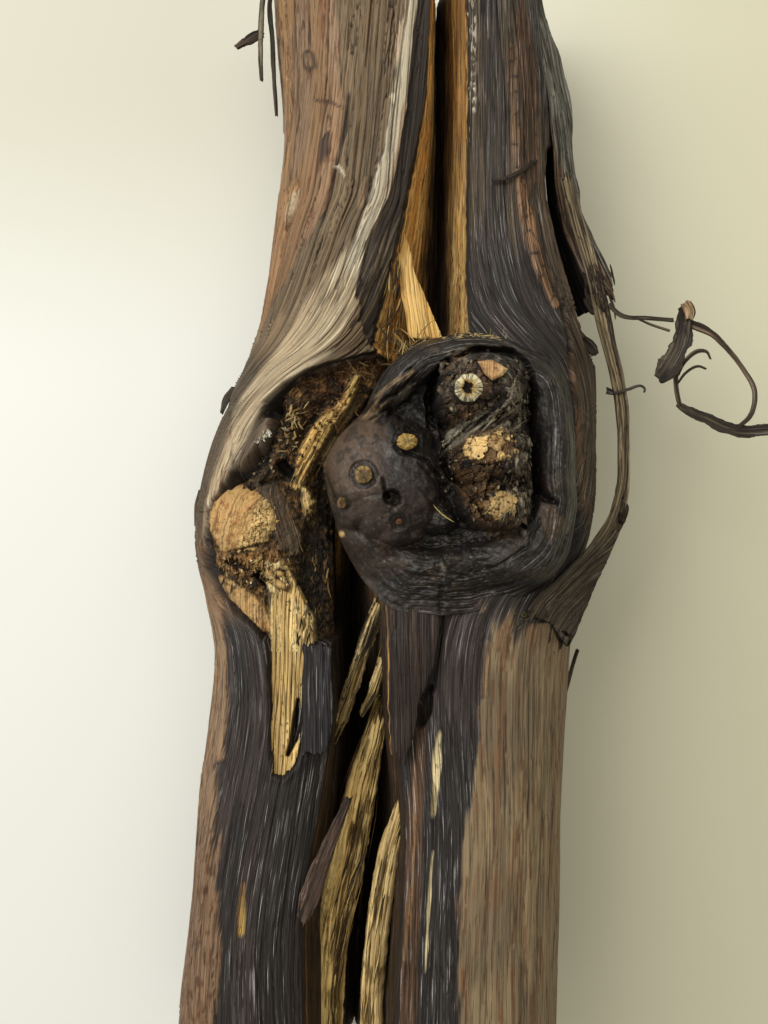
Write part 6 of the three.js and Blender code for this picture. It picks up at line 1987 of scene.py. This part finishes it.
barkHairs = {
    "collarTop": dict(patch=((440, 331), (512, 342)), on=onBurl, count=26, length=1.6, turn=100, spread=60,
        tilt=20, thick=0.12, bend=0.5, tones=pales, lift=-3.5),
    "rim": dict(patch=((504, 370), (530, 520)), on=onBurl, count=90, length=1.8, turn=250, spread=60,
        tilt=10, thick=0.13, bend=0.4, lift=0.1, tones=((170, 160, 140), (90, 78, 64))),
    "folds": dict(patch=((446, 404), (512, 440)), on=onBurl, count=50, length=3.4, turn=36, spread=10,
        tilt=3, thick=0.14, bend=0.1, lift=0.1,
        tones=((146, 134, 112), (74, 62, 50), (176, 166, 142), (44, 38, 34))),
    "edge": dict(patch=((360, 226), (382, 290)), on=onLeft, count=36, length=3.6, turn=262, spread=14,
        tilt=5, thick=0.14, bend=0.2, lift=-0.6, tones=darks + ((150, 128, 92),)),
    "below": dict(patch=((520, 606), (568, 640)), on=onRight, count=110, length=3.2, turn=235, spread=26,
        tilt=12, thick=0.22, bend=0.4, lift=0.2, flat=1.5, tones=((92, 74, 54), (48, 38, 30))),
    "moss": dict(patch=((516, 612), (528, 626)), on=onRight, count=36, length=1.1, turn=90, spread=180,
        tilt=40, thick=0.12, bend=0.6, lift=0.5, tones=((150, 146, 70), (110, 116, 60))),
    "plateEnd": dict(patch=((582, 262), (612, 300)), on=45, count=46, length=4.0, turn=292, spread=12,
        tilt=6, thick=0.3, bend=0.2, flat=1.7, tones=((96, 78, 58), (54, 42, 34))),
    "strawOnKnob": dict(patch=((431, 503), (433, 505)), on=onBurl, count=1, length=7.2, turn=308, spread=0,
        tilt=2, thick=0.2, bend=0.25, lift=0.5, tones=((228, 214, 120), (228, 214, 120))),
}
looseChips = {
    "wound": dict(patch=((262, 372), (350, 470)), on=onWound, count=200, size=0.35, lift=0.1,
        tones=((150, 110, 62), (72, 54, 34), (100, 70, 40))),
    "white": dict(patch=((252, 437), (264, 443)), on=onLeft, count=14, size=0.3, lift=-0.9,
        tones=((226, 224, 212), (170, 162, 140))),
    "whiteEnd": dict(patch=((263, 430), (271, 437)), on=onLeft, count=12, size=0.45, lift=-0.9,
        tones=((236, 234, 222), (190, 182, 160))),
    "grains": dict(patch=((236, 446), (276, 478)), on=onWound, count=70, size=0.35, lift=0.3,
        tones=((170, 150, 112), (44, 40, 36))),
    "broken": dict(patch=((224, 556), (290, 590)), on=onWound, count=60, size=0.6, lift=0.2,
        tones=pales + darks),
    "paleChip": dict(patch=((268, 565), (290, 590)), on=onWound, count=34, size=1.0, lift=0.6, stretch=2.2,
        tones=((226, 200, 144), (186, 152, 98))),
    "splitEdge": dict(patch=((471, 14), (480, 150)), on=onRight, count=90, size=0.75, lift=-0.35,
        tones=((200, 188, 164), (96, 86, 74), (150, 136, 112))),
    "flakyRim": dict(patch=((506, 372), (530, 520)), on=onBurl, count=110, size=0.9, lift=0.1, free=False,
        tones=((168, 158, 138), (110, 98, 82), (66, 56, 46))),
    "knobTop": dict(patch=((442, 356), (520, 408)), on=onBurl, count=90, size=0.8, lift=0.0,
        tones=((76, 66, 54), (40, 34, 29), (116, 102, 82))),
    "knobs": dict(patch=((440, 360), (530, 520)), on=onBurl, count=160, size=0.4, lift=0.05,
        tones=((150, 134, 104), (40, 33, 28))),
}
hairs("woundHairs", woundHairs, "wood")
hairs("splitHairs", splitHairs, "wood")
hairs("barkHairs", barkHairs, "weatheredBark")
chips("looseChips", looseChips, "wood")
print("loose fibres and chips made")


# Bench, light and camera

bench = {"size": 1.6, "left": tone(226, 229, 228), "right": tone(211, 209, 187)}


def makeBench():
    # a pale sheet with painted light and shade: whiter on the left and in the middle, darker in its top
    # left corner and low on the right
    paint = Paint("bench", Roughness=0.6, Specular_IOR_Level=0.2)
    split = paint.node("SeparateXYZ", None, {0: paint.place})
    across, up = split, Link(paint, split.socket.node.outputs[1])
    drift = paint.noise(paint.place, 3.0, 2.0)
    # painted light: whiter towards the left
    share = paint.between(across + drift * 0.05, -0.05, 0.11)
    colour = paint.mix(share, tuple(bench["left"]), tuple(bench["right"]))
    # painted shade in the top left corner
    cornerShade = paint.between(up, 0.03, 0.12) * paint.between(across, 0.03, -0.08)
    colour = paint.mix(cornerShade * 0.65, colour, tuple(bench["right"] * 0.8))
    # painted shade low on the right
    low = paint.between(up, 0.1, -0.12) * share
    colour = paint.mix(low * 0.56, colour, tuple(bench["right"] * 0.7))
    paint.finish(Base_Color=colour)
    half = bench["size"] / 2
    mesh = bpy.data.meshes.new("bench")
    mesh.from_pydata([(-half, -half, 0), (half, -half, 0), (half, half, 0), (-half, half, 0)], [],
                     [(0, 1, 2, 3)])
    mesh.materials.append(paint.material)
    floor = bpy.data.objects.new("bench", mesh)
    bpy.context.scene.collection.objects.link(floor)


lights = {
    "window": dict(at=(-0.5, 0.3, 0.7), size=0.6, power=7.0, colour=(1.0, 0.98, 0.92)),
    "ceiling": dict(at=(0.15, 0.2, 0.9), size=0.8, power=2.4, colour=(1.0, 0.93, 0.76)),
}


def makeLight(name, light):
    # a square lamp that shines at the origin
    lamp = bpy.data.lights.new(name, "AREA")
    lamp.energy, lamp.size, lamp.color = light["power"], light["size"], light["colour"]
    holder = bpy.data.objects.new(name, lamp)
    holder.location = light["at"]
    aim = -np.array(light["at"])
    holder.rotation_euler = (math.acos(-aim[2] / np.linalg.norm(aim)), 0,
                             math.atan2(aim[1], aim[0]) - math.pi / 2)
    bpy.context.scene.collection.objects.link(holder)


def makeCamera():
    # looks straight down, with the photograph's long side spanning its angle
    lens = bpy.data.cameras.new("above")
    lens.sensor_fit, lens.sensor_height = "VERTICAL", 36.0
    lens.lens = 18.0 / math.tan(math.radians(view["longSide"] / 2))
    lens.clip_start = 0.01
    camera = bpy.data.objects.new("above", lens)
    camera.location = (originShift * 0.001, 0.0, view["height"] * 0.001)
    bpy.context.scene.collection.objects.link(camera)
    bpy.context.scene.camera = camera


makeBench()
for lampName, lamp in lights.items():
    makeLight(lampName, lamp)
makeCamera()
sky = bpy.data.worlds.new("studio")
sky.use_nodes = True
sky.node_tree.nodes["Background"].inputs["Color"].default_value = (1.0, 0.95, 0.8, 1.0)
sky.node_tree.nodes["Background"].inputs["Strength"].default_value = 0.36
bpy.context.scene.world = sky
bpy.context.scene.view_settings.view_transform = "Standard"
print("bench, lights and camera made")
